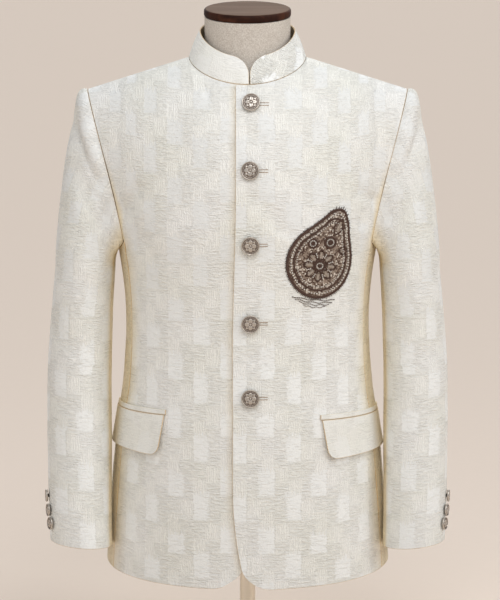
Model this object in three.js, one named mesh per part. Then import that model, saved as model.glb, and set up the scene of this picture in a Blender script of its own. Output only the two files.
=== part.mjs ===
// A prince coat, the close-buttoned South Asian jacket with a stand collar, worn by a limbless
// counter-top dress form. Sizes are in millimetres. +Z is up, the coat faces -Y, and the wearer's
// left is +X. The origin is the centre of the stand's underside.
import * as THREE from "three";
import { mergeVertices } from "three/addons/utils/BufferGeometryUtils.js";

// Cloth and seams
const CLOTH = 2.0; // outer cloth, canvas and lining together
const SEAM_GAP = 0.3;
const HALF_GAP = SEAM_GAP / 2;
const LAP_LIFT = 2.9; // the left front lies on the right front by this much
const TRIM_GAP = 0.4; // between a panel and what is sewn on it

// Coat lengths, measured up from the surface that the stand rests on
const HEM_FRONT_Z = 107;
const HEM_SIDE_RISE = 20;
const HEM_BACK_Z = 124;
const ARMHOLE_Z = 588; // where the front and back seams of the side panel meet the armhole
const UNDERARM_Z = 575;
const SHOULDER_TIP = { x: 225, y: 8, z: 799 };

// Neckline, an oval that dips at the front
const NECK = { halfWidth: 82, halfDepth: 71, y: -9, sideZ: 845, frontDrop: 35, backRise: 17 };
const COLLAR = { halfWidth: 67, halfDepth: 57, y: -8, height: 37, corner: 26, bow: 1.2 };
const COLLAR_ENDS = { gap: 0.7, x: 2.6 }; // half the opening, and its place off the centre line
const COLLAR_GAP = 0.5;

// Outer face of the body at each height: half width, where the widest point lies, and depths
const BODY = {
  z: [100, 180, 250, 300, 342, 371, 400, 430, 470, 514, 545, 577, 612],
  halfWidth: [204.5, 199.5, 194, 189, 184.5, 179.5, 176, 173.8, 172.7, 174.4, 177.6, 182.5, 189],
  sideY: [20, 20, 18, 16, 14, 12, 10, 9, 8, 7, 6, 5, 4],
  front: [118, 119, 119, 118.5, 117.5, 116, 114.5, 113, 112.5, 114.5, 117.3, 120.5, 123.5],
  back: [113, 112, 110, 107, 104, 101, 98, 96, 95.5, 100, 105, 111, 115],
};
const ROUND_FRONT = 0.58; // Bezier handle share of each quarter section; 0.552 would be an ellipse
const ROUND_BACK = 0.57;

// The side panel runs between these shares of the front and back quarter sections
const SIDE_SEAM_FRONT = 0.78;
const SIDE_SEAM_BACK = 0.74;

// Upper body: the share of a panel's width that the neckline takes, and the way the cloth arrives
// at the neckline, the shoulder seam and the shoulder tip
const FRONT_TOP = {
  neckShare: 0.36,
  share: [0, 0.18, 0.36, 0.5, 0.66, 0.83, 1],
  x: [0, 0, 0, 1, 2, 3, 4],
  y: [115, 170, 270, 270, 255, 238, 222],
  z: [205, 150, 25, 0, 0, 0, 10],
};
const BACK_TOP = {
  neckShare: 0.38,
  share: [0, 0.19, 0.38, 0.52, 0.68, 0.84, 1],
  x: [0, 0, 0, 1, 2, 3, 4],
  y: [-90, -150, -370, -345, -300, -250, -215],
  z: [125, 110, 10, 0, 0, 0, 10],
};
const NECK_EASE = 1.15; // spreads the shares along the neckline
const UPPER_RISE = 232; // length of the upward start of the upper body

// Front edges: how far each front passes the centre line, and the rounded cutaway at the hem
const EDGE_LEFT = { lap: 16.5, waistLap: 20.6, cutawayZ: 250, cutaway: 19, cornerX: 30, cornerZ: 28 };
const EDGE_RIGHT = { lap: 14, waistLap: 18, cutawayZ: 250, cutaway: 36, cornerX: 30, cornerZ: 28 };
const LAP_FADE = { from: 22, to: 78 }; // the left front settles onto the body between these widths

// Sleeve tube below the underarm: centre and half sizes at each height
const SLEEVE = {
  z: [140, 200, 258, 315, 372, 429, 486, 548],
  x: [236.2, 237.4, 238.5, 239.3, 239, 238, 235, 229.5],
  halfWidth: [43.8, 44.3, 45.2, 45.7, 45.5, 45, 43.5, 42.5],
  y: [-38, -31, -23, -14, -6, 1, 5, 6],
  halfDepth: [49.5, 50, 51, 52.5, 55, 58.5, 62, 65],
};
const SLEEVE_TOP_Z = 548;
const CUFF_Z = 158.5;
const CUFF_TILT = 4.5; // the cuff is lower on the side next to the body
const CAP_SHARE = 0.42; // share of a sleeve's rows that lie above the tube
const SLEEVE_FRONT_SEAM = 0.45; // turns round the arm from the outside, by way of the front
const SLEEVE_BACK_SEAM = { top: 0.8, cuff: 0.93 };
const ARMHOLE_GAP = 0.6;
const SLEEVE_HEAD = { height: 6, peak: 12 }; // the padded swell below the shoulder seam

// Folds: soft troughs (negative) and ridges. Sleeve places are turns round the arm and height;
// body places are distance from the centre line and height. reach is the half width.
const SLEEVE_FOLDS = [
  { side: -1, from: [0.02, 765], to: [0.25, 648], reach: 13, depth: -5.0 },
  { side: -1, from: [0.08, 700], to: [0.31, 606], reach: 14, depth: -3.8 },
  { side: -1, from: [0.16, 722], to: [0.3, 640], reach: 12, depth: 2.6 },
  { side: -1, from: [0.99, 752], to: [0.8, 640], reach: 14, depth: -4.0 },
  { side: 1, from: [0.03, 762], to: [0.22, 665], reach: 13, depth: -3.8 },
  { side: 1, from: [0.1, 690], to: [0.3, 612], reach: 14, depth: -3.0 },
  { side: 1, from: [0.98, 750], to: [0.79, 645], reach: 14, depth: -3.8 },
  { side: -1, from: [0.6, 470], to: [0.86, 430], reach: 20, depth: -3.2 },
  { side: 1, from: [0.62, 462], to: [0.88, 424], reach: 20, depth: -3.0 },
];
const BODY_FOLDS = [
  { side: -1, from: [176, 640], to: [128, 560], reach: 16, depth: -2.6 },
  { side: 1, from: [182, 652], to: [156, 612], reach: 13, depth: -2.4 },
  { side: 1, from: [100, 812], to: [142, 744], reach: 17, depth: -2.6 },
  { side: -1, from: [92, 815], to: [60, 770], reach: 16, depth: -1.2 },
];

// Pockets: how far forward each flap starts, with its welt above
const FLAP = { rearShare: 1.03, corner: 13, thick: 2.2, flare: 3.2 };
const FLAP_LEFT = { frontX: 103.5, topZ: 343.5, drop: 55.5, rearDrop: 48.5, slant: 8 };
const FLAP_RIGHT = { frontX: 115.5, topZ: 350, drop: 57.5, rearDrop: 50.5, slant: 8 };
const WELT = { above: 0.5, height: 7, thick: 1.5 };

// Buttons
const FRONT_BUTTON = { radius: 12.8, thick: 3.6, shank: 2.2, shankRadius: 3.2, seat: 0.35 };
const FRONT_BUTTON_X = [5.6, 4.4, 4, 4, 4];
const FRONT_BUTTON_Z = [784, 694, 592, 482, 378];
const CUFF_BUTTON = { radius: 9.1, thick: 3.0, shank: 1.6, shankRadius: 2.4, seat: 0.35 };
const CUFF_BUTTON_Z = [225.5, 206.8, 189.4];
const CUFF_BUTTON_TURN = [0.03, 0.056, 0.078]; // turns round the arm, like the sleeve's own

// Embroidered paisley on the left chest: centre, turn and the radius of its outline all round
const MOTIF = { x: 101, z: 572, turn: -8, gap: 0.75, thick: 1.3, crown: 1.2, scale: 1.14 };
const MOTIF_OUTLINE = {
  degrees: [0, 25, 48, 62, 72, 80, 92, 106, 130, 155, 180, 205, 230, 255, 270, 285, 310, 335, 360],
  radius: [37, 38, 45, 56, 64, 62, 50, 42, 38, 38, 40, 43, 46, 49, 50, 49, 45, 40, 37],
};

// Dress form: how far its surface lies inside the coat's outer face, at each height
const FORM_BOTTOM_Z = 155;
const FORM_INSET = {
  z: [150, 470, 577, 700, 770, 800, 900],
  x: [9, 8.5, 7.5, 5.5, 3.8, 3.6, 3.6],
  y: [9, 9, 8, 7, 5.6, 4.8, 4.8],
  down: [0, 0, 0.5, 1.5, 2.7, 3.2, 3.2],
};
const FORM_NECK = { halfWidth: 60.2, halfDepth: 52, y: -7, topZ: 901.5, tilt: 10 };
const CAP = { halfWidth: 61, halfDepth: 53, thick: 11, round: 5 };
const POLE_RADIUS = 11;
const BASE = { radius: 140, thick: 12, hubRadius: 24, hubHeight: 26 };

const COLOURS = {
  cloth: new THREE.MeshStandardMaterial({ color: 0xe9e4d6, roughness: 0.75, metalness: 0 }),
  metal: new THREE.MeshStandardMaterial({ color: 0x8d7f73, roughness: 0.35, metalness: 0.9 }),
  thread: new THREE.MeshStandardMaterial({ color: 0x6a5646, roughness: 0.6, metalness: 0.1 }),
  linen: new THREE.MeshStandardMaterial({ color: 0xcfc8bb, roughness: 0.9, metalness: 0 }),
  wood: new THREE.MeshStandardMaterial({ color: 0x3a2216, roughness: 0.3, metalness: 0 }),
  steel: new THREE.MeshStandardMaterial({ color: 0xb9b6b0, roughness: 0.35, metalness: 0.9 }),
};

const point = (x, y, z) => new THREE.Vector3(x, y, z);
const mix = (a, b, t) => a + (b - a) * t;
const clamp = (v, low, high) => Math.min(high, Math.max(low, v));
const radians = THREE.MathUtils.degToRad;
const smooth = (t) => {
  const c = clamp(t, 0, 1);
  return c * c * (3 - 2 * c);
};

// A smooth curve through a table's column
function tabled(xs, ys) {
  const last = xs.length - 1;
  const slope = (i) => (ys[i + 1] - ys[i]) / (xs[i + 1] - xs[i]);
  const tangents = xs.map((x, i) => {
    if (i === 0) return slope(0);
    if (i === last) return slope(last - 1);
    const before = xs[i] - xs[i - 1];
    const after = xs[i + 1] - xs[i];
    return (slope(i) * before + slope(i - 1) * after) / (before + after);
  });
  return (x) => {
    let i = 0;
    while (i < last - 1 && x > xs[i + 1]) i += 1;
    const width = xs[i + 1] - xs[i];
    const t = clamp((x - xs[i]) / width, 0, 1);
    return hermite(ys[i], tangents[i] * width, ys[i + 1], tangents[i + 1] * width, t);
  };
}

function hermite(start, startSlope, end, endSlope, t) {
  const t2 = t * t;
  const t3 = t2 * t;
  return (
    (2 * t3 - 3 * t2 + 1) * start +
    (t3 - 2 * t2 + t) * startSlope +
    (3 * t2 - 2 * t3) * end +
    (t3 - t2) * endSlope
  );
}

function hermitePoint(start, startWay, end, endWay, t) {
  return point(
    hermite(start.x, startWay.x, end.x, endWay.x, t),
    hermite(start.y, startWay.y, end.y, endWay.y, t),
    hermite(start.z, startWay.z, end.z, endWay.z, t),
  );
}

const bezier = (a, b, c, d, t) => {
  const r = 1 - t;
  return r * r * r * a + 3 * r * r * t * b + 3 * r * t * t * c + t * t * t * d;
};

const body = {
  halfWidth: tabled(BODY.z, BODY.halfWidth),
  sideY: tabled(BODY.z, BODY.sideY),
  front: tabled(BODY.z, BODY.front),
  back: tabled(BODY.z, BODY.back),
};

// A point on the body below the armhole. share is 0 at the centre line and 1 at the side.
function lowerBody(share, z, isBack) {
  const width = body.halfWidth(z);
  const side = body.sideY(z);
  const centre = isBack ? body.back(z) : -body.front(z);
  const round = isBack ? ROUND_BACK : ROUND_FRONT;
  return point(
    bezier(0, round * width, width, width, share),
    bezier(centre, centre, mix(side, centre, round), side, share),
    z,
  );
}

// A point on the neckline. angle is 0 at the front centre, a half turn at the back.
function neckline(angle) {
  const c = Math.cos(angle);
  const rise = c > 0 ? -NECK.frontDrop * Math.pow(c, 1.25) : -NECK.backRise * c;
  return point(NECK.halfWidth * Math.sin(angle), NECK.y - NECK.halfDepth * c, NECK.sideZ + rise);
}

// The top edge of a front or back: neckline first, then the shoulder seam
function topEdge(share, isBack) {
  const neckShare = isBack ? BACK_TOP.neckShare : FRONT_TOP.neckShare;
  if (share <= neckShare) {
    const turn = (Math.PI / 2) * Math.pow(share / neckShare, NECK_EASE);
    return neckline(isBack ? Math.PI - turn : turn);
  }
  const along = (share - neckShare) / (1 - neckShare);
  const start = neckline(Math.PI / 2);
  return start.lerp(point(SHOULDER_TIP.x, SHOULDER_TIP.y, SHOULDER_TIP.z), along);
}

const arrival = (top) => ({
  x: tabled(top.share, top.x),
  y: tabled(top.share, top.y),
  z: tabled(top.share, top.z),
});
const arriveFront = arrival(FRONT_TOP);
const arriveBack = arrival(BACK_TOP);

// A point on the body above the armhole's foot. up is 0 at the foot and 1 at the top edge.
function upperBody(share, up, isBack) {
  const side = Math.abs(share);
  const seam = isBack ? SIDE_SEAM_BACK : SIDE_SEAM_FRONT;
  const foot = lowerBody(side * seam, ARMHOLE_Z, isBack);
  const above = lowerBody(side * seam, ARMHOLE_Z + 6, isBack);
  const startWay = above.sub(foot).multiplyScalar(UPPER_RISE / 6);
  const way = isBack ? arriveBack : arriveFront;
  const endWay = point(way.x(side), way.y(side), way.z(side));
  const made = hermitePoint(foot, startWay, topEdge(side, isBack), endWay, up);
  if (share < 0) made.x = -made.x;
  return made;
}

// Height of the hem at a share of the front or back quarter
function hemZ(quarterShare, isBack) {
  if (!isBack) return HEM_FRONT_Z + HEM_SIDE_RISE * quarterShare * quarterShare;
  const side = HEM_FRONT_Z + HEM_SIDE_RISE;
  return HEM_BACK_Z + (side - HEM_BACK_Z) * quarterShare * quarterShare;
}

// A point of a front or back panel. level runs 0 to 1 up to the armhole's foot, then 1 to 2.
function panelPoint(share, level, isBack, lift = 0) {
  if (level > 1) return upperBody(share, level - 1, isBack);
  const quarter = Math.abs(share) * (isBack ? SIDE_SEAM_BACK : SIDE_SEAM_FRONT);
  const low = hemZ(quarter, isBack) + lift;
  const made = lowerBody(quarter, mix(low, ARMHOLE_Z, level), isBack);
  if (share < 0) made.x = -made.x;
  return made;
}

// Outward direction of a surface at a place, by small steps each way
function outward(surface, a, b, flip, step = 0.004) {
  const along = surface(a + step, b).sub(surface(a - step, b));
  const up = surface(a, b + step).sub(surface(a, b - step));
  return along.cross(up).normalize().multiplyScalar(flip ? -1 : 1);
}

// Outward direction of a front or back. Both use one direction along the shoulder seam.
function panelOut(share, level, isBack) {
  const at = clamp(level, 0.005, 1.994);
  const own = outward((s, l) => panelPoint(s, l, isBack), share, at, isBack);
  const neckShare = isBack ? BACK_TOP.neckShare : FRONT_TOP.neckShare;
  const along = (Math.abs(share) - neckShare) / (1 - neckShare);
  if (level < 1.99 || along < -0.001) return own;
  const otherNeck = isBack ? FRONT_TOP.neckShare : BACK_TOP.neckShare;
  const otherShare = mix(otherNeck, 1, along);
  const other = outward((s, l) => panelPoint(s, l, !isBack), otherShare, at, !isBack);
  return own.add(other).normalize();
}

// Depth of the folds at a place, in the fold table's own coordinates scaled to millimetres
function foldDepth(folds, side, u, v, uScale) {
  let total = 0;
  for (const fold of folds) {
    if (fold.side !== side) continue;
    const startU = fold.from[0] * uScale;
    const wayU = fold.to[0] * uScale - startU;
    const wayV = fold.to[1] - fold.from[1];
    const length = Math.hypot(wayU, wayV);
    const du = u * uScale - startU;
    const dv = v - fold.from[1];
    const along = (du * wayU + dv * wayV) / (length * length);
    const across = (du * wayV - dv * wayU) / length;
    const taper = smooth((along + 0.15) / 0.3) * smooth((1.15 - along) / 0.3);
    total += fold.depth * taper * Math.exp(-((across / fold.reach) ** 2));
  }
  return total;
}

// A closed wall between two grids of points, [row][column]
function wallGeometry(outer, inner) {
  const rows = outer.length;
  const columns = outer[0].length;
  const positions = [];
  const index = [];
  for (const grid of [outer, inner])
    for (const row of grid) for (const p of row) positions.push(p.x, p.y, p.z);
  const place = (layer, r, c) => layer * rows * columns + r * columns + c;
  const quad = (a, b, c, d) => index.push(a, b, c, a, c, d);
  for (let r = 0; r + 1 < rows; r += 1)
    for (let c = 0; c + 1 < columns; c += 1) {
      quad(place(0, r, c), place(0, r, c + 1), place(0, r + 1, c + 1), place(0, r + 1, c));
      quad(place(1, r, c), place(1, r + 1, c), place(1, r + 1, c + 1), place(1, r, c + 1));
    }
  for (let c = 0; c + 1 < columns; c += 1) {
    const last = rows - 1;
    quad(place(0, 0, c), place(1, 0, c), place(1, 0, c + 1), place(0, 0, c + 1));
    quad(place(0, last, c), place(0, last, c + 1), place(1, last, c + 1), place(1, last, c));
  }
  for (let r = 0; r + 1 < rows; r += 1) {
    const last = columns - 1;
    quad(place(0, r, 0), place(0, r + 1, 0), place(1, r + 1, 0), place(1, r, 0));
    quad(place(0, r, last), place(1, r, last), place(1, r + 1, last), place(0, r + 1, last));
  }
  return facingOut(positions, index);
}

// A geometry from points and triangles, turned so that its faces point out
function facingOut(positions, index) {
  let volume = 0;
  const at = (i) => point(positions[3 * i], positions[3 * i + 1], positions[3 * i + 2]);
  for (let i = 0; i < index.length; i += 3)
    volume += at(index[i]).dot(at(index[i + 1]).cross(at(index[i + 2])));
  if (volume < 0)
    for (let i = 0; i < index.length; i += 3)
      [index[i + 1], index[i + 2]] = [index[i + 2], index[i + 1]];
  const geometry = new THREE.BufferGeometry();
  geometry.setAttribute("position", new THREE.Float32BufferAttribute(positions, 3));
  geometry.setIndex(index);
  geometry.computeVertexNormals();
  return geometry;
}

const mirrored = (grid, side) =>
  grid.map((row) => row.map((p) => point(p.x * side, p.y, p.z)));

// Evenly spaced grid lines from 0 to 1
const lines = (count) => Array.from({ length: count + 1 }, (_, i) => i / count);

// A corner of a cloth piece, rounded: distances from its two edges are moved onto a quarter round
function roundCorner(a, b, sizeA, sizeB) {
  if (a >= sizeA || b >= sizeB) return [a, b];
  const p = (sizeA - a) / sizeA;
  const q = (sizeB - b) / sizeB;
  const roundP = p * Math.sqrt(1 - (q * q) / 2);
  const roundQ = q * Math.sqrt(1 - (p * p) / 2);
  return [sizeA * (1 - roundP), sizeB * (1 - roundQ)];
}

// The front edge's distance past the centre line at a height
function edgePast(edge, z) {
  const straight = mix(edge.waistLap, edge.lap, smooth((z - 450) / 200));
  const below = Math.max(0, edge.cutawayZ - z) / (edge.cutawayZ - HEM_FRONT_Z);
  return straight - edge.cutaway * below * below;
}

// How far the left front stands off the body's own surface
function lapLift(x) {
  return LAP_LIFT * (1 - smooth((x - LAP_FADE.from) / (LAP_FADE.to - LAP_FADE.from)));
}

// The share at which a front panel's row has a given distance from the centre line
function shareAtX(x, level) {
  let low = -0.3;
  let high = 1;
  for (let i = 0; i < 24; i += 1) {
    const middle = (low + high) / 2;
    if (panelPoint(middle, level, false).x < x) low = middle;
    else high = middle;
  }
  return (low + high) / 2;
}

// Columns of a front: parts of its width at the hem, and shares along the top edge after the
// first two. The collar has points at the same places of the neckline.
const FRONT_COLUMNS = [0, 0.035, 0.08, 0.13, 0.2, 0.29, 0.38, 0.48, 0.58, 0.69, 0.8, 0.9, 1];
const FRONT_TOP_SHARES = [0, 0.06, 0.12, 0.18, 0.24, 0.3, 0.36, 0.5, 0.66, 0.83, 1];
const LOWER_LEVELS = [0, 0.022, 0.045, 0.075, 0.15, 0.23, 0.32, 0.41, 0.5, 0.6, 0.7, 0.8, 0.9, 1];
const UPPER_LEVELS = [1.12, 1.24, 1.36, 1.48, 1.59, 1.69, 1.78, 1.86, 1.93, 2];
const LEVELS = [...LOWER_LEVELS, ...UPPER_LEVELS];
const SHARE_WIDTH = 237; // millimetres of cloth to one share near the centre line

// The faces of a front: side 1 is the wearer's left, which lies on top
function frontFaces(side) {
  const edge = side > 0 ? EDGE_LEFT : EDGE_RIGHT;
  const outer = [];
  const inner = [];
  for (const level of LEVELS) {
    const outerRow = [];
    const innerRow = [];
    FRONT_COLUMNS.forEach((column, i) => {
      const edgeZ = panelPoint(0, level, false).z;
      const start = shareAtX(-edgePast(edge, edgeZ), level);
      const end = 1 - HALF_GAP / SHARE_WIDTH;
      const topShare = i < 2 ? start * (1 - i / 2) : Math.min(FRONT_TOP_SHARES[i - 2], end);
      let share = mix(mix(start, end, column), topShare, smooth((level - 1) / 0.85));
      let rowLevel = Math.min(level, 2 - HALF_GAP / UPPER_RISE);
      const height = level * (ARMHOLE_Z - HEM_FRONT_Z);
      const [across, up] = roundCorner(
        (share - start) * SHARE_WIDTH,
        height,
        edge.cornerX,
        edge.cornerZ,
      );
      share = start + across / SHARE_WIDTH;
      if (level < 1) rowLevel = up / (ARMHOLE_Z - HEM_FRONT_Z);
      const lift = side > 0 ? lapLift(panelPoint(share, rowLevel, false).x) : 0;
      if (level > 1.9) rowLevel = Math.min(rowLevel, 2 - (HALF_GAP + 0.6 * lift) / UPPER_RISE);
      const place = panelPoint(share, rowLevel, false);
      const out = panelOut(share, rowLevel, false);
      const fold = foldDepth(BODY_FOLDS, side, place.x, place.z, 1);
      const face = place.clone().addScaledVector(out, lift + fold);
      outerRow.push(face);
      innerRow.push(face.clone().addScaledVector(out, -CLOTH));
    });
    outer.push(outerRow);
    inner.push(innerRow);
  }
  return { outer, inner };
}

function front(side) {
  const { outer, inner } = frontFaces(side);
  return wallGeometry(mirrored(outer, side), mirrored(inner, side));
}

const BACK_COLUMNS = [0, 0.075, 0.15, 0.225, 0.3, 0.38, 0.52, 0.68, 0.84, 1];

function back(side) {
  const outer = [];
  const inner = [];
  for (const level of LEVELS.filter((l) => l === 0 || l > 0.05)) {
    const rowLevel = Math.min(level, 2 - HALF_GAP / UPPER_RISE);
    const row = BACK_COLUMNS.map((column) => {
      const start = HALF_GAP / SHARE_WIDTH;
      const share = mix(start, 1 - start, column);
      const place = panelPoint(share, rowLevel, true);
      const out = panelOut(Math.max(share, 0.005), rowLevel, true);
      return [place, place.clone().addScaledVector(out, -CLOTH)];
    });
    outer.push(row.map((pair) => pair[0]));
    inner.push(row.map((pair) => pair[1]));
  }
  return wallGeometry(mirrored(outer, side), mirrored(inner, side));
}

// A point of the side panel. along runs 0 to 1 from the front seam to the back seam.
function sidePoint(along, level, bottomZ = null) {
  const isBack = along > 0.5;
  const seam = isBack ? SIDE_SEAM_BACK : SIDE_SEAM_FRONT;
  const quarter = mix(seam, 1, 1 - Math.abs(2 * along - 1));
  const low = bottomZ ?? hemZ(quarter, isBack);
  const high = mix(UNDERARM_Z, ARMHOLE_Z, Math.pow(Math.abs(2 * along - 1), 2.4));
  return lowerBody(quarter, mix(low, high, level), isBack);
}

const SIDE_COLUMNS = [0, 0.17, 0.34, 0.5, 0.66, 0.83, 1];
const SIDE_WIDTH = 105;

function sidePanel(side) {
  const outer = [];
  const inner = [];
  for (const level of LOWER_LEVELS.filter((l) => l === 0 || l > 0.05)) {
    const row = SIDE_COLUMNS.map((column) => {
      const start = HALF_GAP / SIDE_WIDTH;
      const along = mix(start, 1 - start, column);
      const place = sidePoint(along, level);
      const nearby = clamp(along, 0.02, 0.98);
      const out = outward(sidePoint, nearby, clamp(level, 0.005, 0.995), false, 0.006);
      return [place, place.clone().addScaledVector(out, -CLOTH)];
    });
    outer.push(row.map((pair) => pair[0]));
    inner.push(row.map((pair) => pair[1]));
  }
  return wallGeometry(mirrored(outer, side), mirrored(inner, side));
}

// The armhole's edge as a closed line from the shoulder tip down the front, under and up the back
const armhole = (() => {
  const points = [];
  const steps = 24;
  for (let i = 0; i <= steps; i += 1) points.push(upperBody(1, 1 - i / steps, false));
  for (let i = 1; i < steps; i += 1) points.push(sidePoint(i / steps, 1));
  for (let i = 0; i <= steps; i += 1) points.push(upperBody(1, i / steps, true));
  const lengths = [0];
  for (let i = 1; i < points.length; i += 1)
    lengths.push(lengths[i - 1] + points[i].distanceTo(points[i - 1]));
  return (turns) => {
    const wanted = (turns - Math.floor(turns)) * lengths[lengths.length - 1];
    let i = 1;
    while (i < lengths.length - 1 && lengths[i] < wanted) i += 1;
    const part = (wanted - lengths[i - 1]) / (lengths[i] - lengths[i - 1]);
    return points[i - 1].clone().lerp(points[i], part);
  };
})();

const sleeve = {
  x: tabled(SLEEVE.z, SLEEVE.x),
  halfWidth: tabled(SLEEVE.z, SLEEVE.halfWidth),
  y: tabled(SLEEVE.z, SLEEVE.y),
  halfDepth: tabled(SLEEVE.z, SLEEVE.halfDepth),
};

function sleeveTube(turns, z) {
  const angle = turns * 2 * Math.PI;
  return point(
    sleeve.x(z) + sleeve.halfWidth(z) * Math.cos(angle),
    sleeve.y(z) - sleeve.halfDepth(z) * Math.sin(angle),
    z,
  );
}

// A point of the sleeve. turns goes round the arm, 0 outside, 0.25 front, 0.5 next to the body;
// down runs 0 at the armhole to 1 at the cuff.
function sleevePoint(turns, down) {
  const c = Math.cos(turns * 2 * Math.PI);
  const s = Math.sin(turns * 2 * Math.PI);
  if (down > CAP_SHARE) {
    const cuff = CUFF_Z + CUFF_TILT * c;
    return sleeveTube(turns, mix(SLEEVE_TOP_Z, cuff, (down - CAP_SHARE) / (1 - CAP_SHARE)));
  }
  const way = point(0.9 + 0.1 * c, -0.36 * s, 0.39 * c - 0.27).normalize();
  const start = armhole(turns).addScaledVector(way, ARMHOLE_GAP);
  const end = sleeveTube(turns, SLEEVE_TOP_Z);
  const reach = start.distanceTo(end) * 0.95;
  const endWay = end.clone().sub(sleeveTube(turns, SLEEVE_TOP_Z + 4)).normalize();
  const startReach = 12 + 50 * Math.sqrt(Math.max(0, 0.5 + 0.5 * c));
  const place = hermitePoint(
    start,
    way.clone().multiplyScalar(startReach),
    end,
    endWay.multiplyScalar(reach),
    down / CAP_SHARE,
  );
  const fromSeam = place.distanceTo(start) / SLEEVE_HEAD.peak;
  const swell = SLEEVE_HEAD.height * Math.max(0, c) * fromSeam * Math.exp(1 - fromSeam);
  return place.add(point(0.85, -0.5 * s, 0.5 * c).multiplyScalar(swell));
}

const SLEEVE_ROWS = [
  0, 0.02, 0.045, 0.075, 0.11, 0.15, 0.19, 0.23, 0.28, 0.34, 0.42, 0.49, 0.56, 0.63, 0.71, 0.8,
  0.9, 1,
];
const SLEEVE_ROUND = 330; // millimetres round the arm, for the places of folds
const TOP_SLEEVE_COLUMNS = lines(12);
const UNDER_SLEEVE_COLUMNS = lines(7);

function sleeveSeams(down) {
  const backSeam = mix(SLEEVE_BACK_SEAM.top, SLEEVE_BACK_SEAM.cuff, smooth(down));
  return { front: SLEEVE_FRONT_SEAM, back: backSeam };
}

function sleevePiece(side, isTop) {
  const outer = [];
  const inner = [];
  const gap = HALF_GAP / SLEEVE_ROUND;
  for (const down of SLEEVE_ROWS) {
    const seams = sleeveSeams(down);
    const start = isTop ? seams.back - 1 + gap : seams.front + gap;
    const end = isTop ? seams.front - gap : seams.back - gap;
    const row = (isTop ? TOP_SLEEVE_COLUMNS : UNDER_SLEEVE_COLUMNS).map((column) => {
      const turns = mix(start, end, column);
      const place = sleevePoint(turns, down);
      const nearby = clamp(down, 0.006, 0.994);
      const out = outward(sleevePoint, turns, nearby, false, 0.005);
      const round = turns - Math.floor(turns);
      const hold = smooth(down / 0.05);
      const depth = foldDepth(SLEEVE_FOLDS, side, round, place.z, SLEEVE_ROUND) * hold;
      const face = place.addScaledVector(out, depth);
      return [face, face.clone().addScaledVector(out, -CLOTH)];
    });
    outer.push(row.map((pair) => pair[0]));
    inner.push(row.map((pair) => pair[1]));
  }
  return wallGeometry(mirrored(outer, side), mirrored(inner, side));
}

// The stand collar. angle goes all round from the front centre; up is 0 at the neckline.
function collarPoint(angle, up) {
  const foot = neckline(angle);
  const top = point(
    COLLAR.halfWidth * Math.sin(angle),
    COLLAR.y - COLLAR.halfDepth * Math.cos(angle),
    foot.z + COLLAR.height,
  );
  const bow = COLLAR.bow * Math.sin(Math.PI * up);
  const place = foot.lerp(top, up);
  return place.add(point(Math.sin(angle) * bow, -Math.cos(angle) * bow, 0));
}

const COLLAR_RADIUS = 76;
const COLLAR_BAND = 40;

function collar() {
  const turnAt = (share, neckShare) => 0.25 * Math.pow(share / neckShare, NECK_EASE);
  const frontTurns = FRONT_TOP_SHARES.slice(0, 7).map((s) => turnAt(s, FRONT_TOP.neckShare));
  const backTurns = BACK_COLUMNS.slice(0, 5).map((s) => 0.5 - turnAt(s, BACK_TOP.neckShare));
  const half = [...frontTurns.slice(1), ...backTurns.reverse()];
  half.splice(1, 0, (half[0] + half[1]) / 2);
  const back = half.map((t) => 1 - t).reverse().slice(1);
  const startTurn = (COLLAR_ENDS.x + COLLAR_ENDS.gap) / COLLAR_RADIUS / (2 * Math.PI);
  const whole = [startTurn, startTurn + 0.014, ...half, ...back, 0.99, 1.01];
  const outer = [];
  const inner = [];
  const firstAngle = (COLLAR_ENDS.x + COLLAR_ENDS.gap) / COLLAR_RADIUS;
  const lastAngle = 2 * Math.PI + (COLLAR_ENDS.x - COLLAR_ENDS.gap) / COLLAR_RADIUS;
  for (const up of [0, 0.2, 0.4, 0.6, 0.8, 1]) {
    const row = whole.map((t) => {
      const angle = clamp(t * 2 * Math.PI, firstAngle, lastAngle);
      const fromStart = angle < Math.PI;
      const fromEnd = (fromStart ? angle - firstAngle : lastAngle - angle) * COLLAR_RADIUS;
      const corner = COLLAR.corner;
      const [across, below] = roundCorner(fromEnd, (1 - up) * COLLAR_BAND, corner, corner);
      const place = fromStart
        ? firstAngle + across / COLLAR_RADIUS
        : lastAngle - across / COLLAR_RADIUS;
      const height = mix(COLLAR_GAP / COLLAR_BAND, 1, 1 - below / COLLAR_BAND);
      const face = collarPoint(place, height);
      const out = outward(collarPoint, place, clamp(height, 0.01, 0.99), false);
      return [face, face.clone().addScaledVector(out, -CLOTH)];
    });
    outer.push(row.map((pair) => pair[0]));
    inner.push(row.map((pair) => pair[1]));
  }
  return wallGeometry(outer, inner);
}

// A place on the body's side by distance round it: share passes 1 at the side, onto the back
function roundBody(share, z) {
  return share <= 1 ? lowerBody(share, z, false) : lowerBody(2 - share, z, true);
}

function quarterShareAtX(x, z) {
  let low = 0;
  let high = 1;
  for (let i = 0; i < 24; i += 1) {
    const middle = (low + high) / 2;
    if (lowerBody(middle, z, false).x < x) low = middle;
    else high = middle;
  }
  return (low + high) / 2;
}

// A flat piece on the body's side, from places (share, z) and a lift off the cloth at each
function patchOnBody(side, rows, columns, placeOf, liftOf, thick) {
  const outer = [];
  const inner = [];
  for (const v of rows) {
    const row = columns.map((u) => {
      const [share, z] = placeOf(u, v);
      const out = outward(roundBody, share, z, false, 0.02);
      const lift = liftOf(u, v);
      const under = roundBody(share, z).addScaledVector(out, lift);
      return [under.clone().addScaledVector(out, thick), under];
    });
    outer.push(row.map((pair) => pair[0]));
    inner.push(row.map((pair) => pair[1]));
  }
  return wallGeometry(mirrored(outer, side), mirrored(inner, side));
}

const FLAP_WIDTH = 140;

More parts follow.
